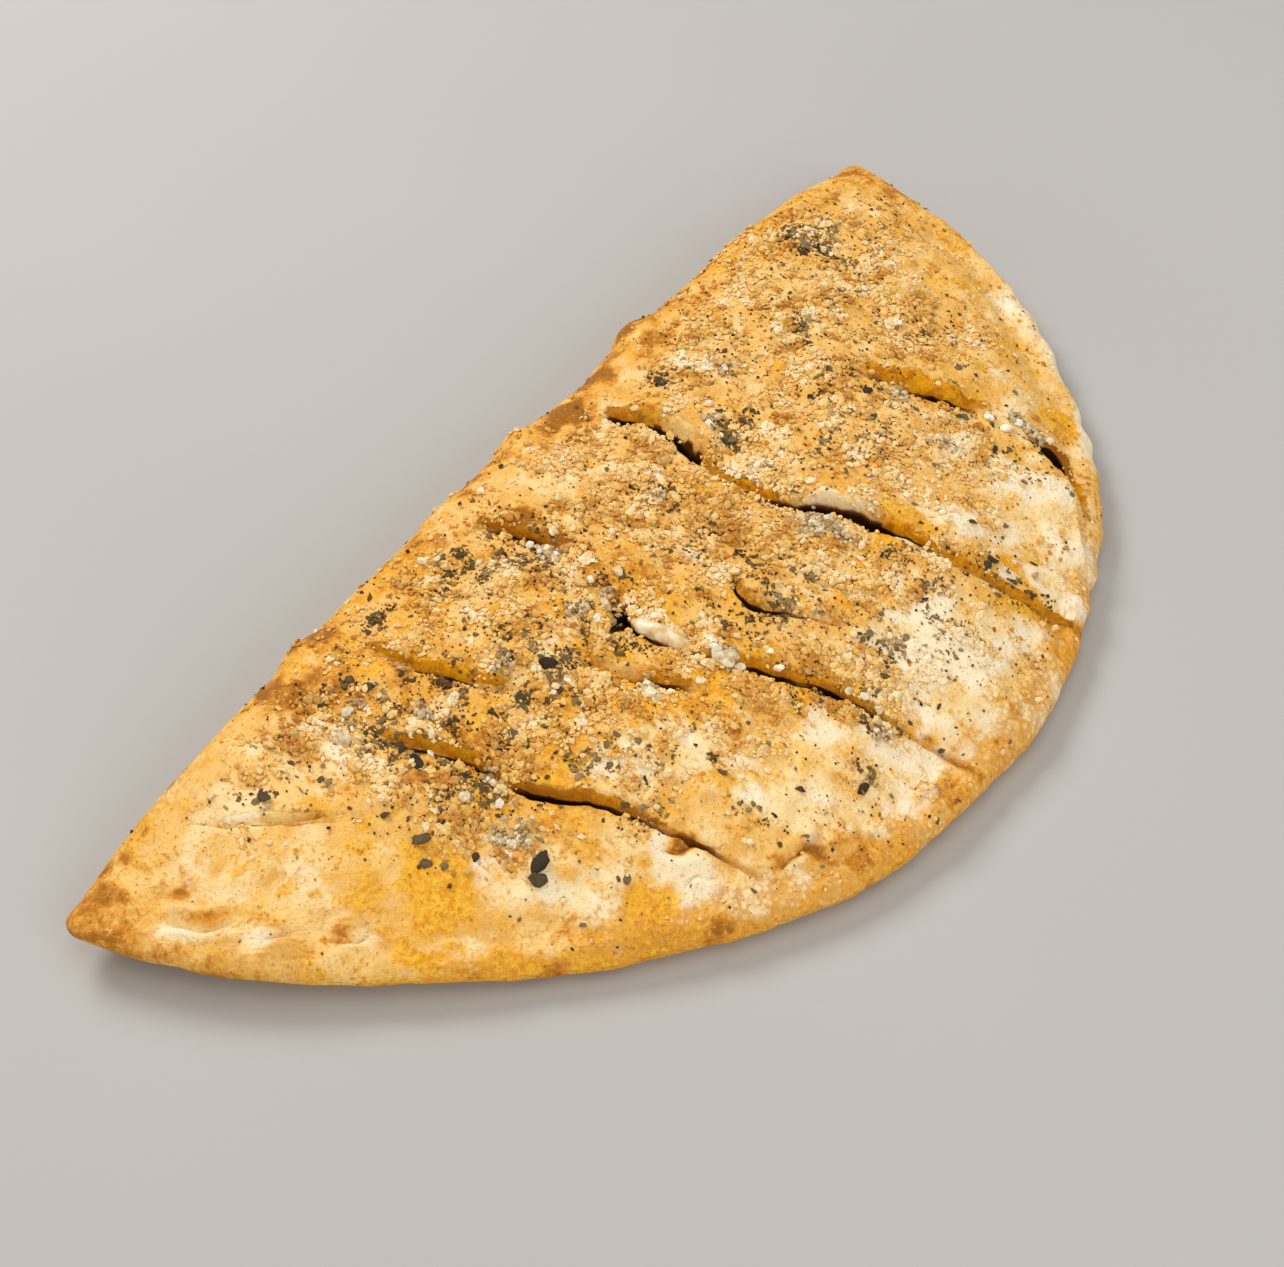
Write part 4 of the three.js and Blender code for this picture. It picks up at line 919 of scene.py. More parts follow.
# painted strokes: what they add, how strongly, half width, points
STROKES = [
    # pressed arcs of the left end: the cream strokes are painted highlights along their pale ridges, with a browned
    # ridge behind them
    ("cream", 1.15, 2.4, [(-160.7, -19.2), (-159.1, -24.9), (-157.0, -29.1), (-154.0, -32.5), (-150.4, -35.4)]),
    ("toast", 0.55, 1.6, [(-155.2, -24.1), (-152.8, -28.7), (-149.4, -32.4), (-147.1, -35.8), (-145.9, -40.1),
                          (-146.0, -45.3)]),
    ("cream", 1.2, 2.8, [(-153.2, -40.1), (-148.7, -42.1), (-146.6, -42.3)]),
    ("toast", 0.50, 1.4, [(-141.1, -52.9), (-138.4, -56.3), (-135.6, -58.4)]),
    ("cream", 1.2, 3.0, [(-139.1, -60.0), (-135.5, -61.2), (-132.5, -61.3)]),
    ("glaze", 1.0, 1.8, [(-130.4, -61.4), (-133.4, -65.9), (-133.2, -72.6), (-135.4, -69.7)]),
    ("toast", 0.55, 1.5, [(-130.0, -60.6), (-132.1, -63.6)]),
    ("glaze", 1.0, 2.6, [(-135.0, -66.6), (-133.4, -72.4), (-131.0, -78.2)]),
    ("toast", 0.45, 1.8, [(-146.9, -52.6), (-146.0, -53.6)]),
    ("toast", 0.40, 1.6, [(-152.6, -19.0), (-151.8, -19.8)]),
    ("toast", 0.40, 1.4, [(-137.0, -55.0), (-136.4, -55.6)]),
    # the turned-over corner beyond the long slash near the right end
    ("glaze", 1.5, 4.0, [(107.0, -102.2), (107.1, -106.8), (102.3, -113.7)]),
    ("toast", 0.03, 2.6, [(106.0, -104.0), (103.3, -112.7)]),
    ("cream", 0.9, 2.6, [(93.5, -98.0), (94.6, -101.2), (95.1, -104.7)]),
    ("cream", 0.8, 3.4, [(134.5, -90.0), (128.5, -100.0), (118.0, -109.0), (106.0, -117.0), (95.0, -122.5)]),
    ("cream", 1.0, 4.0, [(84.5, -114.5), (80.7, -120.2), (73.8, -126.5)]),
    ("toast", 0.40, 1.0, [(88.8, -119.7), (85.3, -123.4), (80.3, -127.0), (68.5, -134.2)]),
    ("toast", 0.5, 1.6, [(87.8, -127.2), (86.6, -128.4)]),
    # browned ends of the slashes on the rim, and brown spots along it
    ("toast", 0.25, 1.5, [(-15.4, -138.5), (-12.2, -145.0), (-13.6, -152.5)]),
    ("toast", 0.55, 0.75, [(-18.9, -119.0), (-17.6, -125.0), (-16.3, -131.0), (-14.4, -140.0), (-13.2, -148.0)]),
    ("toast", 0.50, 0.70, [(-76.2, -99.0), (-73.6, -110.0), (-71.6, -118.5), (-70.2, -126.5)]),
    ("glaze", 0.6, 2.4, [(-17.4, -131.5), (-14.4, -139.9), (-11.8, -147.4)]),
    ("toast", 0.55, 2.2, [(40.5, -143.0), (44.0, -147.5), (46.5, -152.0)]),
    ("glaze", 0.7, 2.2, [(34.0, -128.0), (37.7, -136.0), (42.0, -146.0)]),
    ("toast", 0.45, 3.2, [(-22.8, -147.6), (-19.0, -145.0)]),
    ("toast", 0.40, 2.6, [(-41.2, -145.2), (-37.0, -146.0)]),
    ("toast", 0.55, 1.5, [(-58.9, -132.0), (-57.2, -133.4)]),
    ("toast", 0.85, 0.8, [(-67.3, -126.4), (-61.7, -128.3), (-56.8, -131.6)]),
    ("toast", 1.0, 1.5, [(-78.5, -105.7), (-76.4, -106.5), (-74.2, -108.4)]),
    ("toast", 0.45, 1.6, [(-63.8, -107.6), (-62.6, -108.4)]),
    # golden runs on the left of the middle
    ("glaze", 0.5, 5.0, [(-120.0, -56.9), (-116.5, -64.5), (-120.0, -76.0), (-123.9, -71.6)]),
    ("glaze", 0.6, 3.0, [(-104.0, -106.0), (-116.0, -98.0), (-127.0, -86.0)]),
    # browning along the slashes
    ("toast", 0.40, 2.2, [(-89.0, -66.0), (-85.5, -75.0), (-82.0, -87.0), (-79.0, -98.0), (-75.5, -109.0)]),
    ("toast", 0.40, 3.0, [(-100.4, -10.1), (-100.5, -16.5), (-103.8, -25.3)]),
    ("toast", 0.55, 3.6, [(-90.0, 8.5), (-96.0, -4.0), (-98.0, -12.0)]),
    ("toast", 0.80, 2.8, [(-20.5, -12.0), (-19.0, -24.0), (-20.0, -34.0), (-24.5, -46.0)]),
    ("toast", 0.45, 2.0, [(-28.4, -49.0), (-31.4, -57.0)]),
    ("toast", 0.45, 3.2, [(64.0, 7.0), (61.0, 1.0)]),
    ("toast", 0.40, 2.2, [(118.7, -55.4), (110.0, -65.6), (103.6, -77.1)]),
    ("toast", 0.40, 2.6, [(98.5, -60.0), (94.8, -66.6)]),
    ("toast", 0.45, 2.0, [(-84.6, -42.0), (-84.0, -52.0)]),
    ("toast", 0.45, 1.8, [(-68.0, -30.0), (-65.6, -42.0)]),
    ("glaze", 0.8, 3.0, [(-40.0, -74.0), (-36.0, -88.0), (-30.0, -97.0)]),
    ("glaze", 0.8, 2.6, [(-52.0, -66.0), (-53.0, -76.0), (-50.0, -84.0)]),
    ("glaze", 0.8, 3.4, [(-30.0, -68.0), (-27.5, -78.0), (-24.0, -90.0)]),
]


def patches(spots, x, y, grow=1.0, wobble=None):
    out = np.zeros(np.shape(x))
    for row in spots:
        v = row[3] if len(row) > 3 else 1.0
        d2 = ((x - row[0]) ** 2 + (y - row[1]) ** 2) / (row[2] * grow) ** 2
        if wobble is not None:
            d2 = d2 * wobble
        out = out + v * np.exp(-d2)
    return out


def drift(x, y):
    """Loose sprinkles gather in drifts, with bare dough between them."""
    return (np.clip(0.50 + 1.7 * fbm(x / 8.0, y / 8.0, 0.0, 93, 3), 0.05, 1.5)
            * (1 - 0.75 * np.clip(patches(GOLD, x, y, 0.9), 0, 1)))


def surface_tone(p, nz):
    """Toast, cream, glaze and seasoning of the dough at points p, with upward share nz of their normals."""
    x, y, z = p[:, 0], p[:, 1], p[:, 2]
    a, b = rim_gap(x, y), fold_gap(x, y)
    e = edge_gap(x, y, a, b)
    wob = np.exp(0.9 * fbm(x / 8.0, y / 8.0, 0.0, 81, 2))
    n1 = fbm(x / 20.0, y / 20.0, z / 30.0, 82, 3)
    n2 = fbm(x / 7.0, y / 7.0, z / 8.0, 83, 3)
    n3 = fbm(x / 7.5, y / 7.5, z / 8.0, 84, 3)
    n4 = fbm(x / 3.0, y / 3.0, z / 4.0, 85, 2)
    season = np.clip(patches(CHEESE, x, y) * np.clip(0.25 + 0.85 * drift(x, y), 0, 1.15), 0, 1.5)
    n5 = fbm(x / 3.4, y / 3.4, z / 6.0, 87, 2) * (0.35 + 0.65 * crumbly(x, y))
    cr = crumbly(x, y)
    n6 = fbm(x / 9.0, y / 9.0, z / 12.0, 88, 2) * (0.3 + 0.9 * cr)
    cream = (1.05 * patches(CREAM, x, y, 1.25, wob) + 0.30 * n1 + 0.50 * n2 + 0.26 * n5 - 0.38 * n6 + 0.09
             - 0.22 * np.minimum(season, 1))
    glaze = 0.95 * patches(GOLD, x, y, 1.2, wob) + 0.48 * n3 - 0.22 * n1 - 0.30 * n5 + 0.16
    glaze = glaze + 0.36 * smooth(19, 4, b) * (0.25 + 0.75 * smooth(-118, -95, x))
    toast = 0.62 * patches(TOAST, x, y, 1.2, wob) + 0.32 * n4 + 0.20 * n2 + 0.40 * n6 - 0.22 + 0.06 * cr
    # the fold's shoulder is browner, and the lower flank of the rim golden brown
    shoulder = smooth(14, 1, b) * (0.45 + 0.55 * smooth(12, 22, z))
    toast = toast + 0.85 * shoulder * np.clip(0.5 + 0.75 * n2 + 0.5 * n4, 0, 1.2)
    wall = smooth(6, 1, b) * smooth(20, 9, z)
    toast = toast * (1 - 0.55 * wall) + 0.12 * wall
    toast = toast + (0.05 + 0.17 * smooth(-60, -90, x)) * smooth(7, 0, e) * smooth(9, 2, z)
    flank = smooth(8, 1, e) * smooth(11, 3, z)
    golden = smooth(-30, -85, x) * (0.25 + 0.75 * smooth(-147, -129, x))
    glaze = glaze + 0.95 * flank * (0.14 + 0.86 * golden)
    toast = toast - 0.05 * flank
    cream = cream - 0.34 * flank * (-0.25 + 1.25 * golden)
    tips = smooth(144, 170, np.abs(x))
    toast = toast * (1 - 0.5 * tips) + 0.66 * tips
    cream = cream - 0.3 * tips
    # ridges and blisters brown first
    toast = toast + 0.20 * smooth(0.30, 0.80, noise3(x / 4.2, y / 4.2, 0.0, 34))
    for channel, strength, width, points in STROKES:
        d, t, total = polyline_field(points, x, y)
        fade = smooth(-1.0, 2.5, t) * smooth(total + 1.0, total - 2.5, t)
        w = width * (1 + 0.35 * n4)
        mark = strength * np.exp(-(np.abs(d) / w) ** 2.4) * (fade if total > 6 else 1.0)
        if channel == "cream":
            cream, toast, glaze = cream + mark, toast - 0.8 * mark, glaze - 0.8 * mark
        elif channel == "toast":
            toast, cream = toast + mark, cream - 0.6 * mark
        else:
            glaze, cream = glaze + mark, cream - 0.8 * mark
    under = smooth(-0.2, -0.75, nz)
    toast = toast * (1 - under) + 0.42 * under
    glaze = glaze * (1 - under)
    cream = cream * (1 - under) + 0.15 * under
    season = season * smooth(0.1, 0.5, nz) * smooth(0.5, 5, e)
    crusty = smooth(15, 5, a) * (1 - 0.65 * smooth(60, 90, x)) * (0.40 + 0.60 * smooth(-124, -98, x))
    crusty = np.maximum(crusty, 0.7 * smooth(12, 3, b)) * (1 - under)
    return (np.clip(toast, 0, 1.3), np.clip(cream, 0, 1.7), np.clip(glaze, 0, 1.2), np.clip(season, 0, 1.5) / 1.5,
            crusty, under)


def set_colour(me, name, r, g, b):
    attr = me.attributes.new(name, "FLOAT_COLOR", "POINT")
    data = np.stack([r, g, b, np.ones_like(r)], -1).astype(np.float32)
    attr.data.foreach_set("color", data.ravel())


def paint_crust(ob):
    me = ob.data
    n = len(me.vertices)
    co = np.empty(n * 3, np.float32)
    me.vertices.foreach_get("co", co)
    co = co.reshape(n, 3).astype(float)
    nor = np.array([v.normal for v in me.vertices])
    p = co * 1000.0
    p[:, 1] -= SHIFT_Y
    toast, cream, glaze, season, crusty, under = surface_tone(p, nor[:, 2])
    # marks of the slashes, from the nearest point of the grid they were cut on
    grid = place(top.reshape(-1, 3))
    marked = np.nonzero((masks["face"].ravel() > 0) | (masks["inner"].ravel() > 0)
                        | (np.abs(np.gradient(masks["face"], axis=0)).ravel() > 0))[0]
    tree = KDTree(len(marked))
    for i in marked:
        tree.insert(grid[i], int(i))
    tree.balance()
    face, inner = np.zeros(n), np.zeros(n)
    lip_cream, lip_brown = np.zeros(n), np.zeros(n)
    flat = {k: v.ravel() for k, v in masks.items()}
    near_band = np.zeros(n, bool)
    for name in ORDER:
        d = (p[:, 0] - at(name, "x", p[:, 1])) * at(name, "c", p[:, 1])
        near_band |= np.abs(d) < 11
    for i in np.nonzero(near_band)[0]:
        _, j, dist = tree.find(co[i])
        if dist < 1.2e-3:
            w = 1.0 if dist < 4e-4 else (1.2e-3 - dist) / 8e-4
            face[i], inner[i] = flat["face"][j] * w, flat["inner"][j] * w
            lip_cream[i], lip_brown[i] = flat["cream"][j], flat["brown"][j]
    # walls of the room inside, seen through the slashes, get painted shade
    depth = top_height(p[:, 0], p[:, 1], detail=False) - p[:, 2]
    hidden = ((depth > 3.4) & (edge_gap(p[:, 0], p[:, 1]) > 6.0) & (np.abs(p[:, 0]) < 150.5)
              & (p[:, 2] - tip_lift(p[:, 0]) > 3.6))
    inner = np.where(hidden & (inner < 0.4), 0.55, inner)
    season = season * (1 - np.clip(face + inner, 0, 1))
    # below zero, the lip's brown marks the underside
    lip_brown = np.where((face < 0.02) & (inner < 0.02), -under, lip_brown)
    set_colour(me, "tone", toast, cream, glaze)
    set_colour(me, "lip", face, lip_cream, lip_brown)
    set_colour(me, "mark", inner, season, crusty)


paint_crust(crust)

# ---------------------------------------------------------------------------------------
# sprinkles
# ---------------------------------------------------------------------------------------
SOLID_TREE = BVHTree.FromObject(crust, bpy.context.evaluated_depsgraph_get())


def drop(x, y):
    """Rays from above: place and normal of the top at each (x, y), in metres."""
    points, normals, ok = [], [], []
    for px, py in zip(x * 0.001, (y + SHIFT_Y) * 0.001):
        hit, normal, _, _ = SOLID_TREE.ray_cast(Vector((px, py, 0.08)), Vector((0, 0, -1)))
        if hit is None or hit.z < 0.002:
            ok.append(False)
            continue
        ok.append(True)
        points.append(hit)
        normals.append(normal)
    return np.array(points).reshape(-1, 3), np.array(normals).reshape(-1, 3), np.array(ok)


def icosahedron(level=0):
    bm = bmesh.new()
    bmesh.ops.create_icosphere(bm, subdivisions=level + 1, radius=1.0)
    v = np.array([w.co[:] for w in bm.verts])
    f = np.array([[w.index for w in face.verts] for face in bm.faces])
    bm.free()
    return v, f


def octahedron():
    v = np.array([(1, 0, 0), (0, 1, 0), (-1, 0, 0), (0, -1, 0), (0, 0, 1), (0, 0, -1)], float)
    f = np.array([(0, 1, 4), (1, 2, 4), (2, 3, 4), (3, 0, 4), (1, 0, 5), (2, 1, 5), (3, 2, 5), (0, 3, 5)])
    return v * 1.15, f


SHAPE = {"shard": octahedron(), "grain": icosahedron(0), "lump": icosahedron(1)}


def scattered(name, rng, points, normals, size, stretch, flat, jitter, sink, shade, shape="grain",
              smooth_shade=False, curl=0.0):
    """One mesh of many small pieces lying on the surface. size is half the mean width, in mm."""
    base, tri = SHAPE[shape]
    n, m = len(points), len(base)
    v = np.repeat(base[None], n, 0)
    # each piece is turned at random before it is flattened, so that no two look alike
    turn = rng.standard_normal((n, 3, 3))
    turn = np.linalg.qr(turn)[0]
    turn *= np.sign(np.linalg.det(turn))[:, None, None]
    v = np.einsum("nij,nmj->nmi", turn, v)
    v = v * (1 + jitter * rng.standard_normal((n, m, 1)) * 0.6 + jitter * rng.standard_normal((n, m, 3)) * 0.4)
    long = 1 + stretch * rng.random(n)
    thin = flat * (0.8 + 0.4 * rng.random(n))
    v = v * np.stack([long, np.ones(n), thin], -1)[:, None]
    if curl:
        v[..., 2] += curl * rng.uniform(-1, 1, (n, 1)) * v[..., 0] ** 2
    tilt = rng.normal(0, 0.25, (n, 2))
    spin = rng.uniform(0, 2 * math.pi, n)
    w = normals + 0 * points
    w[:, 0] += tilt[:, 0]
    w[:, 1] += tilt[:, 1]
    w /= np.linalg.norm(w, axis=1, keepdims=True)
    u = np.stack([np.cos(spin), np.sin(spin), 0 * spin], -1)
    u -= w * np.sum(u * w, 1, keepdims=True)
    u /= np.maximum(np.linalg.norm(u, axis=1, keepdims=True), 1e-9)
    t = np.cross(w, u)
    v = v * (size[:, None, None] * 0.001)
    world = (v[..., :1] * u[:, None] + v[..., 1:2] * t[:, None] + v[..., 2:] * w[:, None]) + points[:, None]
    world = world + (normals * (size * thin * (1 - sink) * 0.001)[:, None])[:, None]
    faces = (tri[None] + (np.arange(n) * m)[:, None, None]).reshape(-1, 3)
    ob = make_mesh(name, world.reshape(-1, 3), faces, smooth_shade)
    attr = ob.data.attributes.new("shade", "FLOAT", "POINT")
    attr.data.foreach_set("value", np.repeat(shade, m).astype(np.float32))
    print("SCATTER", name, n, "pieces", len(faces), "faces")
    return ob


def candidates(rng, n, density):
    """Random places over the half moon, kept with a chance equal to the density there."""
    x = rng.uniform(-172, 172, n)
    y = rng.uniform(-158, 9, n)
    keep = (edge_gap(x, y) > 1.0) & (rng.random(n) < density(x, y))
    return x[keep], y[keep]


def bare_lip(x, y):
    """1 on the bare face of a lip, where little seasoning lies."""
    out = np.zeros(np.shape(x))
    for name in ORDER:
        xs, s, face, gap, c = (at(name, k, y) for k in ("x", "s", "face", "gap", "c"))
        d = (x - xs) * c - gap / 2
        out = np.maximum(out, BOLD[name][2] * smooth(0.2, 0.7, s) * smooth(-0.6, 0.2, d)
                         * smooth(face * 0.95 + 0.6, face * 0.6, d))
    return out


def near_edge(x, y):
    """Rises towards the lower edge of each slash, where crumbs collect."""
    out = np.zeros(np.shape(x))
    for name in ORDER:
        xs, s, gap, c = (at(name, k, y) for k in ("x", "s", "gap", "c"))
        d = (x - xs) * c + gap / 2
        out = np.maximum(out, s * np.exp(-((d + 1.6) / 2.4) ** 2))
    return out


def cheese_density(x, y):
    clump = 0.75 + 0.45 * fbm(x / 4.5, y / 4.5, 0.0, 91, 2)
    base = np.clip(patches(CHEESE, x, y, 1.05), 0, 1.35) * smooth(0.5, 6, edge_gap(x, y))
    sparse = 0.035 * smooth(-112, -90, x)
    return np.clip((base * clump + 0.5 * near_edge(x, y) * base + sparse) * (1 - 0.85 * bare_lip(x, y)), 0, 1)


def herb_density(x, y):
    clump = np.clip(0.36 + 1.8 * fbm(x / 4.6, y / 4.6, 0.0, 92, 2), 0.02, 2.2)
    base = np.clip(patches(HERB, x, y, 0.88), 0, 1.6) ** 1.35
    sparse = 0.006 * smooth(-128, -96, x) + 0.0012
    return np.clip((base * clump * 1.08 + 0.4 * near_edge(x, y) * base + sparse) * (1 - 0.8 * bare_lip(x, y)), 0, 1)


THIN = 1.0
pieces = {}


def sprinkle(name, seed, tries, density, middle, spread, low, high, keep, **look):
    """One kind of small piece over the top. middle, low and high are half widths in mm."""
    rng = np.random.default_rng(seed)
    x, y = candidates(rng, int(tries * THIN), density)
    p, nrm, _ = drop(x[:keep], y[:keep])
    size = rng.lognormal(math.log(middle), spread, len(p)).clip(low, high)
    # neighbours share much of their shade: some places are golden, others pale
    px, py = p[:, 0] * 1000, p[:, 1] * 1000 - SHIFT_Y
    local = 0.50 * fbm(px / 6.0, py / 6.0, 0.0, 95, 2) + (0.20 * (patches(CREAM, px, py) - patches(GOLD, px, py))
                                                             - 0.30 * np.clip(patches(TOAST, px, py, 1.1), 0, 1))
    shade = np.clip(0.50 + local + rng.uniform(-0.22, 0.22, len(p)), 0, 1)
    pieces[name] = scattered(name, rng, p, nrm, size, shade=shade, **look)


def placed(name, seed, rows, grow, **look):
    """The larger pieces, each at its own place: x, y and half width."""
    rng = np.random.default_rng(seed)
    rows = np.array(rows)
    p, nrm, ok = drop(rows[:, 0], rows[:, 1])
    pieces[name] = scattered(name, rng, p, nrm, rows[ok][:, 2] * grow, shade=rng.random(len(p)), **look)


sprinkle("cheese_crumbs", 11, 130000, lambda x, y: cheese_density(x, y) * drift(x, y), 0.36, 0.34, 0.18, 0.85, 14500,
         stretch=0.6, flat=0.75, jitter=0.20, sink=0.30, shape="shard")
sprinkle("cheese_grains", 17, 60000, lambda x, y: cheese_density(x, y) ** 1.1 * drift(x, y), 0.57, 0.32, 0.30, 1.15, 7600,
         stretch=0.6, flat=0.66, jitter=0.24, sink=0.35)
sprinkle("garlic_granules", 12, 17000, lambda x, y: cheese_density(x, y) ** 1.7 * drift(x, y) ** 1.5, 0.72, 0.30, 0.42, 1.4, 2400,
         stretch=0.5, flat=0.60, jitter=0.26, sink=0.4)
sprinkle("herb_flakes", 13, 90000, herb_density, 0.38, 0.36, 0.18, 0.85, 7600,
         stretch=1.0, flat=0.34, jitter=0.34, sink=0.2, curl=0.2)
sprinkle("pepper_specks", 14, 80000,
         lambda x, y: 0.60 * herb_density(x, y) + 0.12 * cheese_density(x, y) + 0.0030, 0.23, 0.34, 0.12, 0.55, 7800,
         stretch=0.5, flat=0.8, jitter=0.24, sink=0.3, shape="shard")
placed("herb_leaves", 15, BIG_FLECKS, 0.72, stretch=0.6, flat=0.26, jitter=0.20, sink=0.2, shape="lump", curl=0.35,
       smooth_shade=True)
placed("cheese_chunks", 16, CHUNKS, 0.74, stretch=0.5, flat=0.58, jitter=0.17, sink=0.45, shape="lump")


def heaped(name, seed, rows, middle, **look):
    """Crumbs lying in small heaps, one on another."""
    rng = np.random.default_rng(seed)
    spots = np.concatenate([np.column_stack([rng.normal(x, w * 0.62, n), rng.normal(y, w * 0.62, n), np.full(n, w)])
                            for x, y, w, n in ((r[0], r[1], r[2], int(r[3])) for r in rows)])
    centre = np.concatenate([np.tile(r[:2], (int(r[3]), 1)) for r in rows])
    p, nrm, ok = drop(spots[:, 0], spots[:, 1])
    spots, centre = spots[ok], centre[ok]
    near = np.exp(-((spots[:, 0] - centre[:, 0]) ** 2 + (spots[:, 1] - centre[:, 1]) ** 2) / spots[:, 2] ** 2)
    p = p + nrm * (0.0011 * near * rng.random(len(p)) ** 1.5)[:, None]
    size = rng.lognormal(math.log(middle), 0.28, len(p)).clip(0.3, 1.05)
    pieces[name] = scattered(name, rng, p, nrm, size, shade=rng.random(len(p)), **look)


heaped("soft_crumbs", 18, HEAPS, 0.56, stretch=0.5, flat=0.72, jitter=0.24, sink=0.3)


def strand(points, radii, seed, rings=26, around=14):
    """A soft lumpy strand of cheese along points (x, y, z in mm)."""
    points, radii = np.array(points, float), np.array(radii, float)
    t = np.linspace(0, len(points) - 1, rings)
    centre = np.stack([np.interp(t, np.arange(len(points)), points[:, k]) for k in range(3)], -1)
    r = np.interp(t, np.arange(len(radii)), radii)
    r = r * np.sqrt(np.clip(1 - (np.abs(np.linspace(-1, 1, rings)) ** 6), 0.02, 1))
    d = np.gradient(centre, axis=0)
    d /= np.linalg.norm(d, axis=1, keepdims=True)
    side = np.cross(d, [0, 0, 1.0])
    side /= np.linalg.norm(side, axis=1, keepdims=True)
    up = np.cross(side, d)
    th = np.linspace(0, 2 * math.pi, around, endpoint=False)
    ring = np.cos(th)[None, :, None] * side[:, None] + 0.8 * np.sin(th)[None, :, None] * up[:, None]
    lump = 1 + 0.22 * noise3(t[:, None] * 2.3, np.cos(th)[None] * 1.3 + 5, np.sin(th)[None] * 1.3, seed) \
        + 0.10 * noise3(t[:, None] * 6.0, np.cos(th)[None] * 3 + 5, np.sin(th)[None] * 3, seed + 1)
    v = centre[:, None] + ring * (r[:, None] * lump)[..., None]
    v = np.concatenate([v.reshape(-1, 3), centre[:1], centre[-1:]])
    idx = np.arange(rings * around).reshape(rings, around)
    a, b = idx[:-1], np.roll(idx[:-1], -1, 1)
    c, d2 = np.roll(idx[1:], -1, 1), idx[1:]
    quads = np.stack([a, b, c, d2], -1).reshape(-1, 4)
    n = rings * around
    caps = np.concatenate([np.stack([idx[0], np.full(around, n), np.roll(idx[0], -1)], -1),
                           np.stack([np.roll(idx[-1], -1), np.full(around, n + 1), idx[-1]], -1)])
    return v, quads, caps


def lip_point(name, y, off, up):
    """A place beside a slash: off mm past the gap's far edge, up mm above the crown there."""
    y = float(y)
    x = float(at(name, "x", y) + (at(name, "gap", y) / 2 + off) / at(name, "c", y))
    z = float(top_height(np.array([x]), np.array([y]), skip=name)[0])
    return (x, y, z + up)


def join_strands(name, parts):
    verts, quads, caps, n = [], [], [], 0
    for v, q, c in parts:
        verts.append(v)
        quads.append(q + n)
        caps.append(c + n)
        n += len(v)
    ob = make_mesh(name, place(np.concatenate(verts)), [np.concatenate(quads), np.concatenate(caps)])
    bm = bmesh.new()
    bm.from_mesh(ob.data)
    bmesh.ops.recalc_face_normals(bm, faces=bm.faces)
    bm.to_mesh(ob.data)
    bm.free()
    return ob


parts = [
    strand([lip_point("D", -62.6, 0.9, -0.5), lip_point("D", -66.4, 1.4, 0.3), lip_point("D", -71.0, 1.6, 0.4),
            lip_point("D", -76.0, 1.4, 0.4), lip_point("D", -80.6, 1.0, -0.2)], [1.6, 2.3, 2.4, 2.2, 1.4], 101),
    strand([lip_point("D", -80.6, 3.0, -0.5), lip_point("D", -83.4, 2.8, 0.1), lip_point("D", -86.6, 2.4, -0.5)],
           [0.9, 1.4, 0.9], 102, 12, 12),
    strand([lip_point("D", -86.0, 0.4, -0.5), lip_point("D", -88.4, 0.2, 0.1), lip_point("D", -90.8, 0.0, -0.6)],
           [1.2, 1.8, 1.2], 104, 12, 12),
    strand([lip_point("C", -98.0, -1.6, -3.4), lip_point("C", -102.0, -1.2, -2.6), lip_point("C", -107.5, -0.9, -2.0)],
           [1.4, 1.6, 1.0], 103, 14, 12),
]
pieces["melted_cheese"] = join_strands("melted_cheese", parts)


# ---------------------------------------------------------------------------------------
# materials
# ---------------------------------------------------------------------------------------
def linear(r, g, b):
    def one(c):
        c = c / 255.0
        return c / 12.92 if c <= 0.04045 else ((c + 0.055) / 1.055) ** 2.4
    return (one(r), one(g), one(b), 1.0)


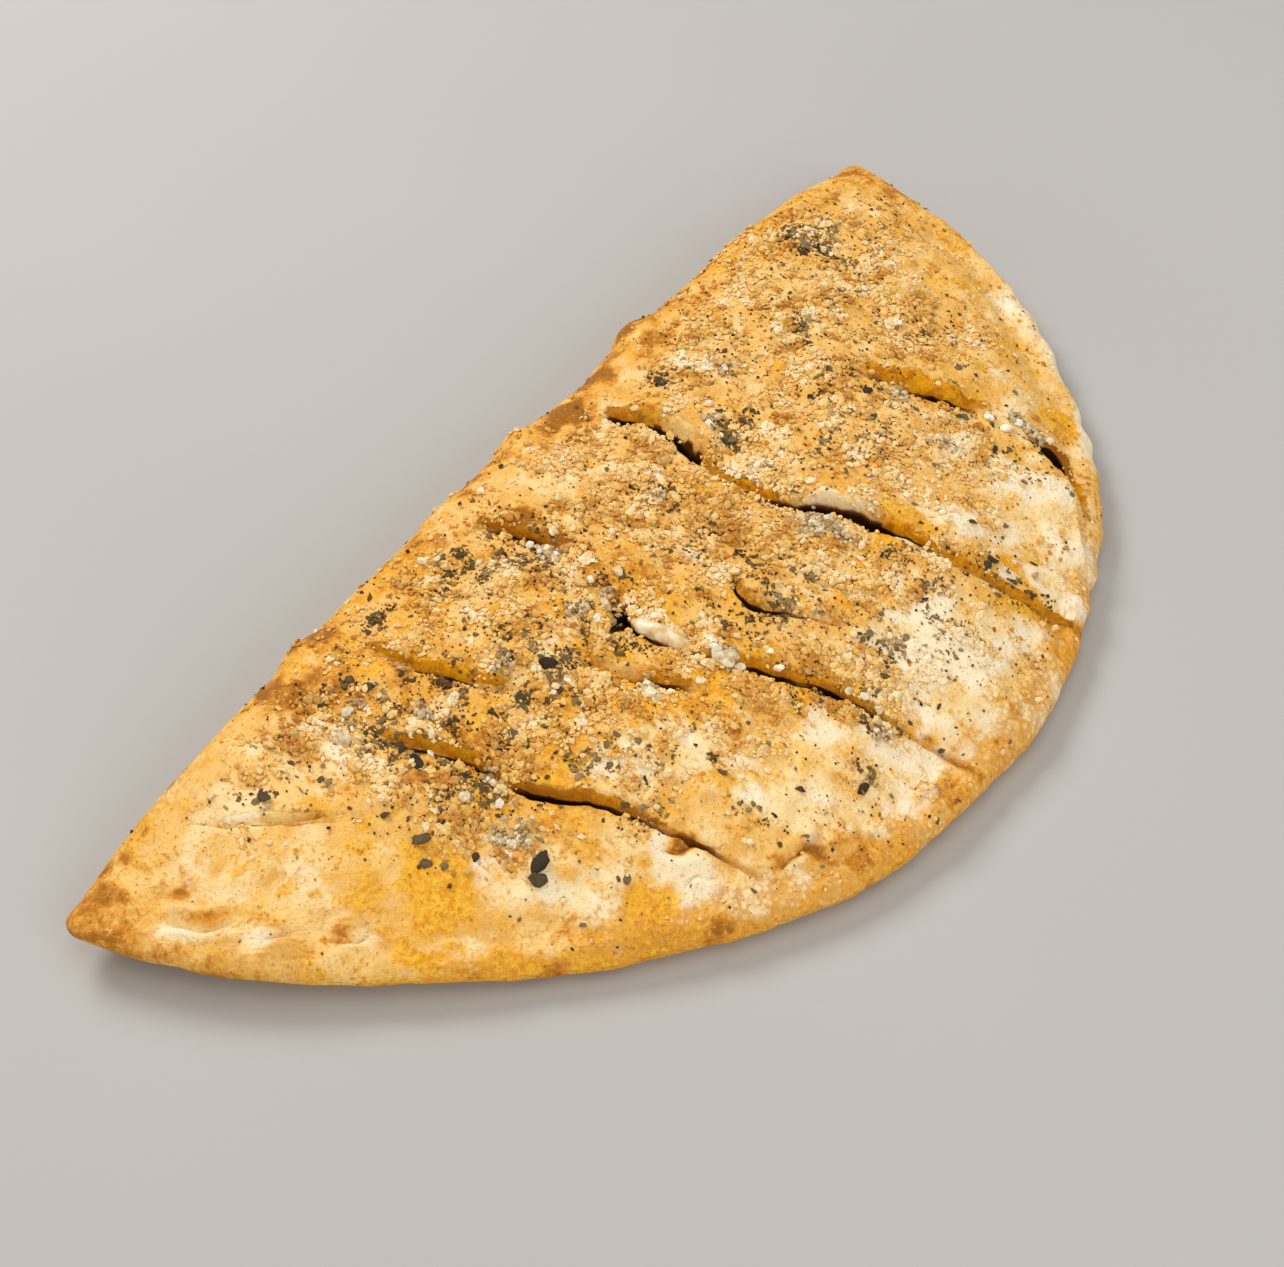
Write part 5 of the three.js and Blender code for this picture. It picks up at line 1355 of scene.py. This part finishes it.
class Nodes:
    """Short-hand for building a material."""

    def __init__(self, name):
        self.mat = bpy.data.materials.new(name)
        self.mat.use_nodes = True
        self.tree = self.mat.node_tree
        self.shader = self.tree.nodes["Principled BSDF"]
        self.coord = self.tree.nodes.new("ShaderNodeTexCoord").outputs["Object"]

    def link(self, value, socket):
        if isinstance(value, bpy.types.NodeSocket):
            self.tree.links.new(value, socket)
        else:
            socket.default_value = value

    def noise(self, scale, detail=2.0, rough=0.5, distort=0.0):
        n = self.tree.nodes.new("ShaderNodeTexNoise")
        self.link(self.coord, n.inputs["Vector"])
        n.inputs["Scale"].default_value = scale
        n.inputs["Detail"].default_value = detail
        n.inputs["Roughness"].default_value = rough
        n.inputs["Distortion"].default_value = distort
        return n.outputs["Fac"]

    def cells(self, scale, output="Color", feature="F1"):
        n = self.tree.nodes.new("ShaderNodeTexVoronoi")
        n.feature = feature
        self.link(self.coord, n.inputs["Vector"])
        n.inputs["Scale"].default_value = scale
        return n.outputs[output]

    def attribute(self, name, output="Color"):
        n = self.tree.nodes.new("ShaderNodeAttribute")
        n.attribute_name = name
        return n.outputs[output]

    def split(self, colour):
        n = self.tree.nodes.new("ShaderNodeSeparateColor")
        self.link(colour, n.inputs[0])
        return n.outputs[0], n.outputs[1], n.outputs[2]

    def math(self, op, a, b=0.0, c=None, clamp=False):
        n = self.tree.nodes.new("ShaderNodeMath")
        n.operation = op
        n.use_clamp = clamp
        self.link(a, n.inputs[0])
        self.link(b, n.inputs[1])
        if c is not None:
            self.link(c, n.inputs[2])
        return n.outputs[0]

    def span(self, value, lo, hi, to_lo=0.0, to_hi=1.0, smoothstep=True):
        n = self.tree.nodes.new("ShaderNodeMapRange")
        n.interpolation_type = "SMOOTHSTEP" if smoothstep else "LINEAR"
        for v, k in ((value, 0), (lo, 1), (hi, 2), (to_lo, 3), (to_hi, 4)):
            self.link(v, n.inputs[k])
        return n.outputs[0]

    def mix(self, fac, a, b, blend="MIX"):
        n = self.tree.nodes.new("ShaderNodeMix")
        n.data_type = "RGBA"
        n.blend_type = blend
        self.link(fac, n.inputs["Factor"])
        self.link(a, n.inputs[6])
        self.link(b, n.inputs[7])
        return n.outputs[2]

    def bump(self, height, strength, distance, normal=None):
        n = self.tree.nodes.new("ShaderNodeBump")
        n.inputs["Strength"].default_value = strength
        n.inputs["Distance"].default_value = distance
        self.link(height, n.inputs["Height"])
        if normal is not None:
            self.link(normal, n.inputs["Normal"])
        return n.outputs[0]

    def ramp(self, fac, stops):
        n = self.tree.nodes.new("ShaderNodeValToRGB")
        r = n.color_ramp
        while len(r.elements) < len(stops):
            r.elements.new(0.5)
        for e, (pos, col) in zip(r.elements, stops):
            e.position, e.color = pos, col
        self.link(fac, n.inputs[0])
        return n.outputs[0]


def crust_material():
    m = Nodes("baked_crust")
    toast, cream, glaze = m.split(m.attribute("tone"))
    face, lip_cream, lip_brown = m.split(m.attribute("lip"))
    inner, season, crusty = m.split(m.attribute("mark"))

    def swing(scale, detail, rough, gain, distort=0.0):
        """Noise about zero, from -1 to 1."""
        return m.span(m.noise(scale, detail, rough, distort), 0.5 - gain, 0.5 + gain, -1.0, 1.0, False)

    def add(*terms):
        total = None
        for weight, value in terms:
            part = m.math("MULTIPLY", value, weight)
            total = part if total is None else m.math("ADD", total, part)
        return total

    def layer(col, fac, lo, hi, top_colour, strength):
        return m.mix(m.math("MULTIPLY", m.span(fac, lo, hi), strength), col, top_colour)

    wide, blot = swing(75, 3, .6, .20), swing(190, 3, .6, .20, .4)
    crumb, sand, dust = swing(430, 3, .62, .20, .3), swing(950, 2, .6, .22), swing(2100, 1, .5, .24)
    rag = add((0.34, blot), (0.26, crumb), (0.16, sand))
    col = m.mix(m.span(add((0.6, wide), (1.0, rag)), -0.6, 0.6), linear(229, 173, 86), linear(245, 206, 132))
    col = layer(col, m.math("ADD", cream, rag), 0.15, 0.95, linear(247, 222, 168), 0.94)
    oily = m.mix(m.span(crumb, -0.6, 0.6), linear(222, 148, 18), linear(243, 188, 54))
    col = layer(col, m.math("ADD", glaze, rag), 0.15, 0.95, oily, 0.92)
    # sandy seasoned dough: each small cell has its own tone, and the dark cells are painted shade between the crumbs
    cell = m.split(m.cells(820))[0]
    grit_and_shade = m.ramp(cell, [(0.0, linear(92, 46, 4)), (0.24, linear(158, 92, 12)), (0.50, linear(212, 144, 38)),
                           (0.80, linear(240, 190, 94)), (1.0, linear(250, 222, 168))])
    col = layer(col, add((1.0, season), (0.7, rag)), 0.05, 0.80, grit_and_shade, 0.60)
    col = layer(col, add((1.0, glaze), (0.8, rag), (-0.25, cream)), 0.50, 1.15, oily, 0.62)
    # knobbly crust along the rim and the fold: darker tan between its bumps as painted shade, and paler on their tops
    # as a painted highlight
    knob = m.cells(600, "Distance")
    col = layer(col, add((0.9, crusty), (1.2, knob), (0.6, rag)), 1.05, 1.65, linear(204, 138, 56), 0.62)
    col = layer(col, add((0.9, crusty), (-1.4, knob), (0.6, crumb)), 0.75, 1.15, linear(248, 216, 152), 0.34)
    # toasted patches, from tan to brown
    sole = m.math("MAXIMUM", m.math("MULTIPLY", lip_brown, -1.0), 0.0)
    mottled = m.math("MULTIPLY", add((0.55, wide), (0.35, blot), (0.15, crumb)), sole)
    browned = add((1.0, toast), (0.85, rag), (1.0, mottled))
    col = layer(col, browned, -0.15, 0.45, linear(238, 178, 70), 0.60)
    col = layer(col, browned, 0.15, 0.90, linear(202, 130, 36), 0.85)
    col = layer(col, browned, 0.60, 1.35, linear(140, 84, 20), 0.80)
    # the palest ridges: near-white, pale dough in places and the painted highlight along the pressed arcs
    col = layer(col, add((1.0, cream), (0.38, rag)), 0.98, 1.85, linear(251, 237, 206), 0.88)
    # fine specks: orange brown, pale and dark
    plain = m.span(cream, 0.25, 0.85, 1.0, 0.42)
    col = m.mix(m.math("MULTIPLY", m.span(add((1.0, sand), (0.5, crumb)), 0.50, 0.85), m.math("MULTIPLY", plain, 0.50)),
                col, linear(196, 118, 26))
    col = layer(col, add((-1.0, sand), (-0.4, crumb)), 0.55, 0.90, linear(250, 228, 180), 0.28)
    col = layer(col, add((1.0, dust), (0.4, sand)), 0.72, 0.97, linear(128, 72, 18), 0.45)
    # bare face of the lips: oily yellow, cream or browned
    lip = m.mix(m.span(add((1.0, crumb), (0.8, blot)), -0.8, 0.8), linear(180, 108, 0), linear(230, 163, 6))
    lip = layer(lip, add((1.0, lip_cream), (0.5, rag)), 0.20, 0.90, linear(234, 199, 128), 0.90)
    # near-white on the lips: pale dough, with painted highlights on the bumps of the boldest lips
    lip = layer(lip, add((1.0, lip_cream), (0.25, rag)), 0.86, 1.05, linear(252, 240, 214), 0.80)
    lip = layer(lip, add((1.0, lip_brown), (0.9, rag)), 0.10, 0.95, linear(140, 78, 16), 0.80)
    # olive brown at the face's upper and lower edges; at the lower edge, by the gap, it is painted shade
    edge = m.math("ABSOLUTE", m.math("SUBTRACT", face, 0.80))
    lip = layer(lip, add((1.0, edge), (0.35, rag)), 0.10, 0.50, linear(128, 78, 14), 0.60)
    lip = layer(lip, add((1.0, dust), (0.4, sand)), 0.60, 0.95, linear(150, 92, 34), 0.35)
    col = layer(col, add((1.0, face), (0.70, rag)), 0.16, 0.72, lip, 1.0)
    # the inside of a slash: brown where it is shallow, and painted shade, near black, where it is deep
    col = m.mix(m.span(inner, 0.08, 0.42), col, linear(112, 62, 12))
    col = m.mix(m.span(inner, 0.26, 0.74), col, linear(44, 22, 7))
    m.link(col, m.shader.inputs["Base Color"])
    rough = m.span(add((1.0, glaze), (0.7, rag)), 0.2, 0.9, 0.66, 0.42)
    rough = m.math("ADD", rough, m.math("MULTIPLY", crumb, 0.06))
    rough = m.math("SUBTRACT", rough, m.math("MULTIPLY", face, 0.15), clamp=True)
    m.link(rough, m.shader.inputs["Roughness"])
    m.shader.inputs["Specular IOR Level"].default_value = 0.09
    m.shader.inputs["Subsurface Weight"].default_value = 0.10
    m.shader.inputs["Subsurface Radius"].default_value = (1.0, 0.58, 0.28)
    m.shader.inputs["Subsurface Scale"].default_value = 0.0022
    height = add((0.40, crumb), (0.34, sand), (0.12, dust))
    domes = m.math("MULTIPLY", m.math("MULTIPLY", m.cells(820, "Distance"), -0.9), season)
    height = m.math("MULTIPLY", m.math("ADD", height, domes), m.span(face, 0.3, 0.9, 1.0, 0.70))
    height = m.math("MULTIPLY", height, m.span(season, 0.0, 0.5, 0.70, 1.25))
    height = m.math("ADD", height, m.math("MULTIPLY", m.math("MULTIPLY", knob, -1.3), crusty))
    m.link(m.bump(height, 0.65, 0.00075), m.shader.inputs["Normal"])
    return m.mat


def filling_material():
    m = Nodes("cheese_filling")
    a, b = m.noise(160, 4, .6), m.noise(520, 3, .6)
    col = m.ramp(a, [(0.30, linear(70, 34, 12)), (0.48, linear(128, 70, 24)), (0.60, linear(186, 118, 48)),
                     (0.72, linear(222, 176, 104))])
    col = m.mix(m.span(b, 0.55, 0.7, 0, 0.5), col, linear(84, 40, 16))
    m.link(col, m.shader.inputs["Base Color"])
    m.link(m.span(b, 0.3, 0.7, 0.35, 0.6), m.shader.inputs["Roughness"])
    m.link(m.bump(m.math("ADD", a, m.math("MULTIPLY", b, 0.4)), 0.5, 0.0008), m.shader.inputs["Normal"])
    return m.mat


def speckled(name, stops, rough, scale=1400, contrast=0.25, bump=0.3, specular=0.35):
    """A material for small pieces: each has its own shade, with a finer grain over it."""
    m = Nodes(name)
    shade = m.attribute("shade", "Fac")
    grain = m.noise(scale, 2, .5)
    col = m.ramp(shade, [(p, linear(*c)) for p, c in stops])
    dark = m.span(grain, 0.35, 0.65, 1.0 - contrast, 1.0 + contrast * 0.3)
    comb = m.tree.nodes.new("ShaderNodeCombineColor")
    for k in range(3):
        m.link(dark, comb.inputs[k])
    col = m.mix(1.0, col, comb.outputs[0], "MULTIPLY")
    m.link(col, m.shader.inputs["Base Color"])
    m.link(m.span(grain, 0.3, 0.7, rough - 0.1, rough + 0.1), m.shader.inputs["Roughness"])
    m.shader.inputs["Specular IOR Level"].default_value = specular
    m.link(m.bump(grain, bump, 0.0003), m.shader.inputs["Normal"])
    return m.mat


def melted_material():
    m = Nodes("melted_cheese")
    a, b = m.noise(220, 3, .6), m.noise(900, 2, .5)
    col = m.ramp(a, [(0.30, linear(204, 162, 98)), (0.43, linear(226, 200, 150)), (0.60, linear(244, 232, 204))])
    col = m.mix(m.span(b, 0.64, 0.78, 0, 0.35), col, linear(196, 146, 78))
    m.link(col, m.shader.inputs["Base Color"])
    m.link(m.span(b, 0.3, 0.7, 0.30, 0.5), m.shader.inputs["Roughness"])
    m.link(m.bump(m.math("ADD", a, m.math("MULTIPLY", b, 0.4)), 0.35, 0.0005), m.shader.inputs["Normal"])
    return m.mat


crust.data.materials.clear()
crust.data.materials.append(crust_material())
filling.data.materials.append(filling_material())

GRATED = [(0.0, (198, 134, 44)), (0.18, (222, 164, 70)), (0.46, (238, 194, 108)), (0.78, (244, 209, 144)),
          (1.0, (250, 227, 182))]
LOOKS = {
    "cheese_crumbs": speckled("cheese_crumb", GRATED, 0.55, contrast=0.17),
    "cheese_grains": speckled("grated_cheese", GRATED, 0.5, contrast=0.17),
    "garlic_granules": speckled("garlic", [(0.0, (190, 142, 72)), (0.2, (222, 178, 100)), (0.5, (240, 206, 140)),
                                           (0.8, (244, 218, 168)), (1.0, (250, 236, 206))], 0.45),
    "herb_flakes": speckled("dried_herb", [(0.0, (74, 57, 32)), (0.35, (106, 83, 48)), (0.65, (134, 109, 70)),
                                           (0.85, (156, 131, 90)), (1.0, (184, 156, 110))], 0.75, specular=0.15),
    "pepper_specks": speckled("pepper", [(0.0, (50, 33, 16)), (0.5, (88, 56, 22)), (0.8, (126, 80, 30)),
                                         (1.0, (160, 100, 36))], 0.7, specular=0.15),
    "herb_leaves": speckled("herb_leaf", [(0.0, (56, 47, 32)), (0.4, (84, 71, 50)), (0.75, (112, 95, 68)),
                                          (1.0, (146, 124, 90))], 0.7, 900, specular=0.15),
    "soft_crumbs": speckled("soft_cheese_crumb", [(0.0, (150, 114, 68)), (0.3, (188, 160, 112)),
                                                  (0.7, (216, 194, 152)), (1.0, (239, 226, 198))], 0.5, 900),
    "cheese_chunks": speckled("cheese_lump", [(0.0, (218, 198, 160)), (0.5, (238, 222, 188)),
                                              (1.0, (252, 244, 226))], 0.45, 700),
    "melted_cheese": melted_material(),
}

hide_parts("crust")
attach(crust, "root")
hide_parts("filling")
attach(filling, "root")
for name, ob in pieces.items():
    ob.data.materials.append(LOOKS[name])
    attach(ob, "root")

# ---------------------------------------------------------------------------------------
# floor, light, camera
# ---------------------------------------------------------------------------------------
bpy.ops.mesh.primitive_plane_add(size=6.0, location=(0, 0, -0.0002))
floor = bpy.context.object
floor.name = "floor"
fm = Nodes("floor")
fm.link(fm.mix(fm.span(fm.noise(3, 2, .5), 0.3, 0.7), linear(176, 175, 173), linear(180, 179, 177)),
        fm.shader.inputs["Base Color"])
fm.shader.inputs["Roughness"].default_value = 0.9
floor.data.materials.append(fm.mat)


def area(name, loc, aim, size, power, colour=(1, 1, 1)):
    light = bpy.data.lights.new(name, "AREA")
    light.shape = "RECTANGLE"
    light.size, light.size_y = size
    light.energy = power
    light.color = colour
    ob = bpy.data.objects.new(name, light)
    bpy.context.scene.collection.objects.link(ob)
    ob.location = loc
    ob.rotation_euler = (Vector(aim) - Vector(loc)).to_track_quat("-Z", "Y").to_euler()
    return ob


# The camera's axes in the part's frame, and its place, in metres.
CAM_PLACE = Vector((-0.3867971, -0.2475980, 0.4897117))
CAM_RIGHT = Vector((0.56936343, -0.82191406, -0.01680934))
CAM_UP = Vector((0.60596528, 0.40577631, 0.68421609))
CAM_BACK = Vector((-0.555546, -0.3997535, 0.72908558))
FOCAL_PX = 2600.0

cam_data = bpy.data.cameras.new("camera")
cam = bpy.data.objects.new("camera", cam_data)
bpy.context.scene.collection.objects.link(cam)
cam.matrix_world = Matrix((
    (CAM_RIGHT.x, CAM_UP.x, CAM_BACK.x, CAM_PLACE.x),
    (CAM_RIGHT.y, CAM_UP.y, CAM_BACK.y, CAM_PLACE.y),
    (CAM_RIGHT.z, CAM_UP.z, CAM_BACK.z, CAM_PLACE.z),
    (0, 0, 0, 1)))
cam_data.sensor_fit = "HORIZONTAL"
cam_data.sensor_width = 36.0
cam_data.lens = FOCAL_PX * 36.0 / 1284.0
cam_data.clip_start, cam_data.clip_end = 0.01, 20.0
bpy.context.scene.camera = cam

right = CAM_RIGHT.copy()
right.z = 0
right.normalize()
away = Vector((-right.y, right.x, 0))          # into the picture, on the floor


def stage_point(r, a, z):
    return tuple(right * r + away * a + Vector((0, 0, z)))


area("key", stage_point(-0.75, 0.80, 0.95), (0, 0, 0), (0.7, 0.5), 14.9, (1.0, 0.96, 0.90))
area("fill", stage_point(0.65, -0.95, 0.75), (0, 0, 0), (1.1, 0.8), 7.4, (1.0, 0.955, 0.89))
area("low", stage_point(-0.15, -1.2, 0.22), (0, 0, 0.02), (1.5, 0.35), 2.5, (1.0, 0.93, 0.82))
area("over", stage_point(0.1, 0.0, 1.5), (0, 0, 0), (1.3, 1.3), 6.1, (1.0, 0.97, 0.93))

world = bpy.data.worlds.new("world")
bpy.context.scene.world = world
world.use_nodes = True
world.node_tree.nodes["Background"].inputs[0].default_value = (1.0, 0.98, 0.95, 1)
world.node_tree.nodes["Background"].inputs[1].default_value = 0.36
bpy.context.scene.view_settings.view_transform = "Standard"
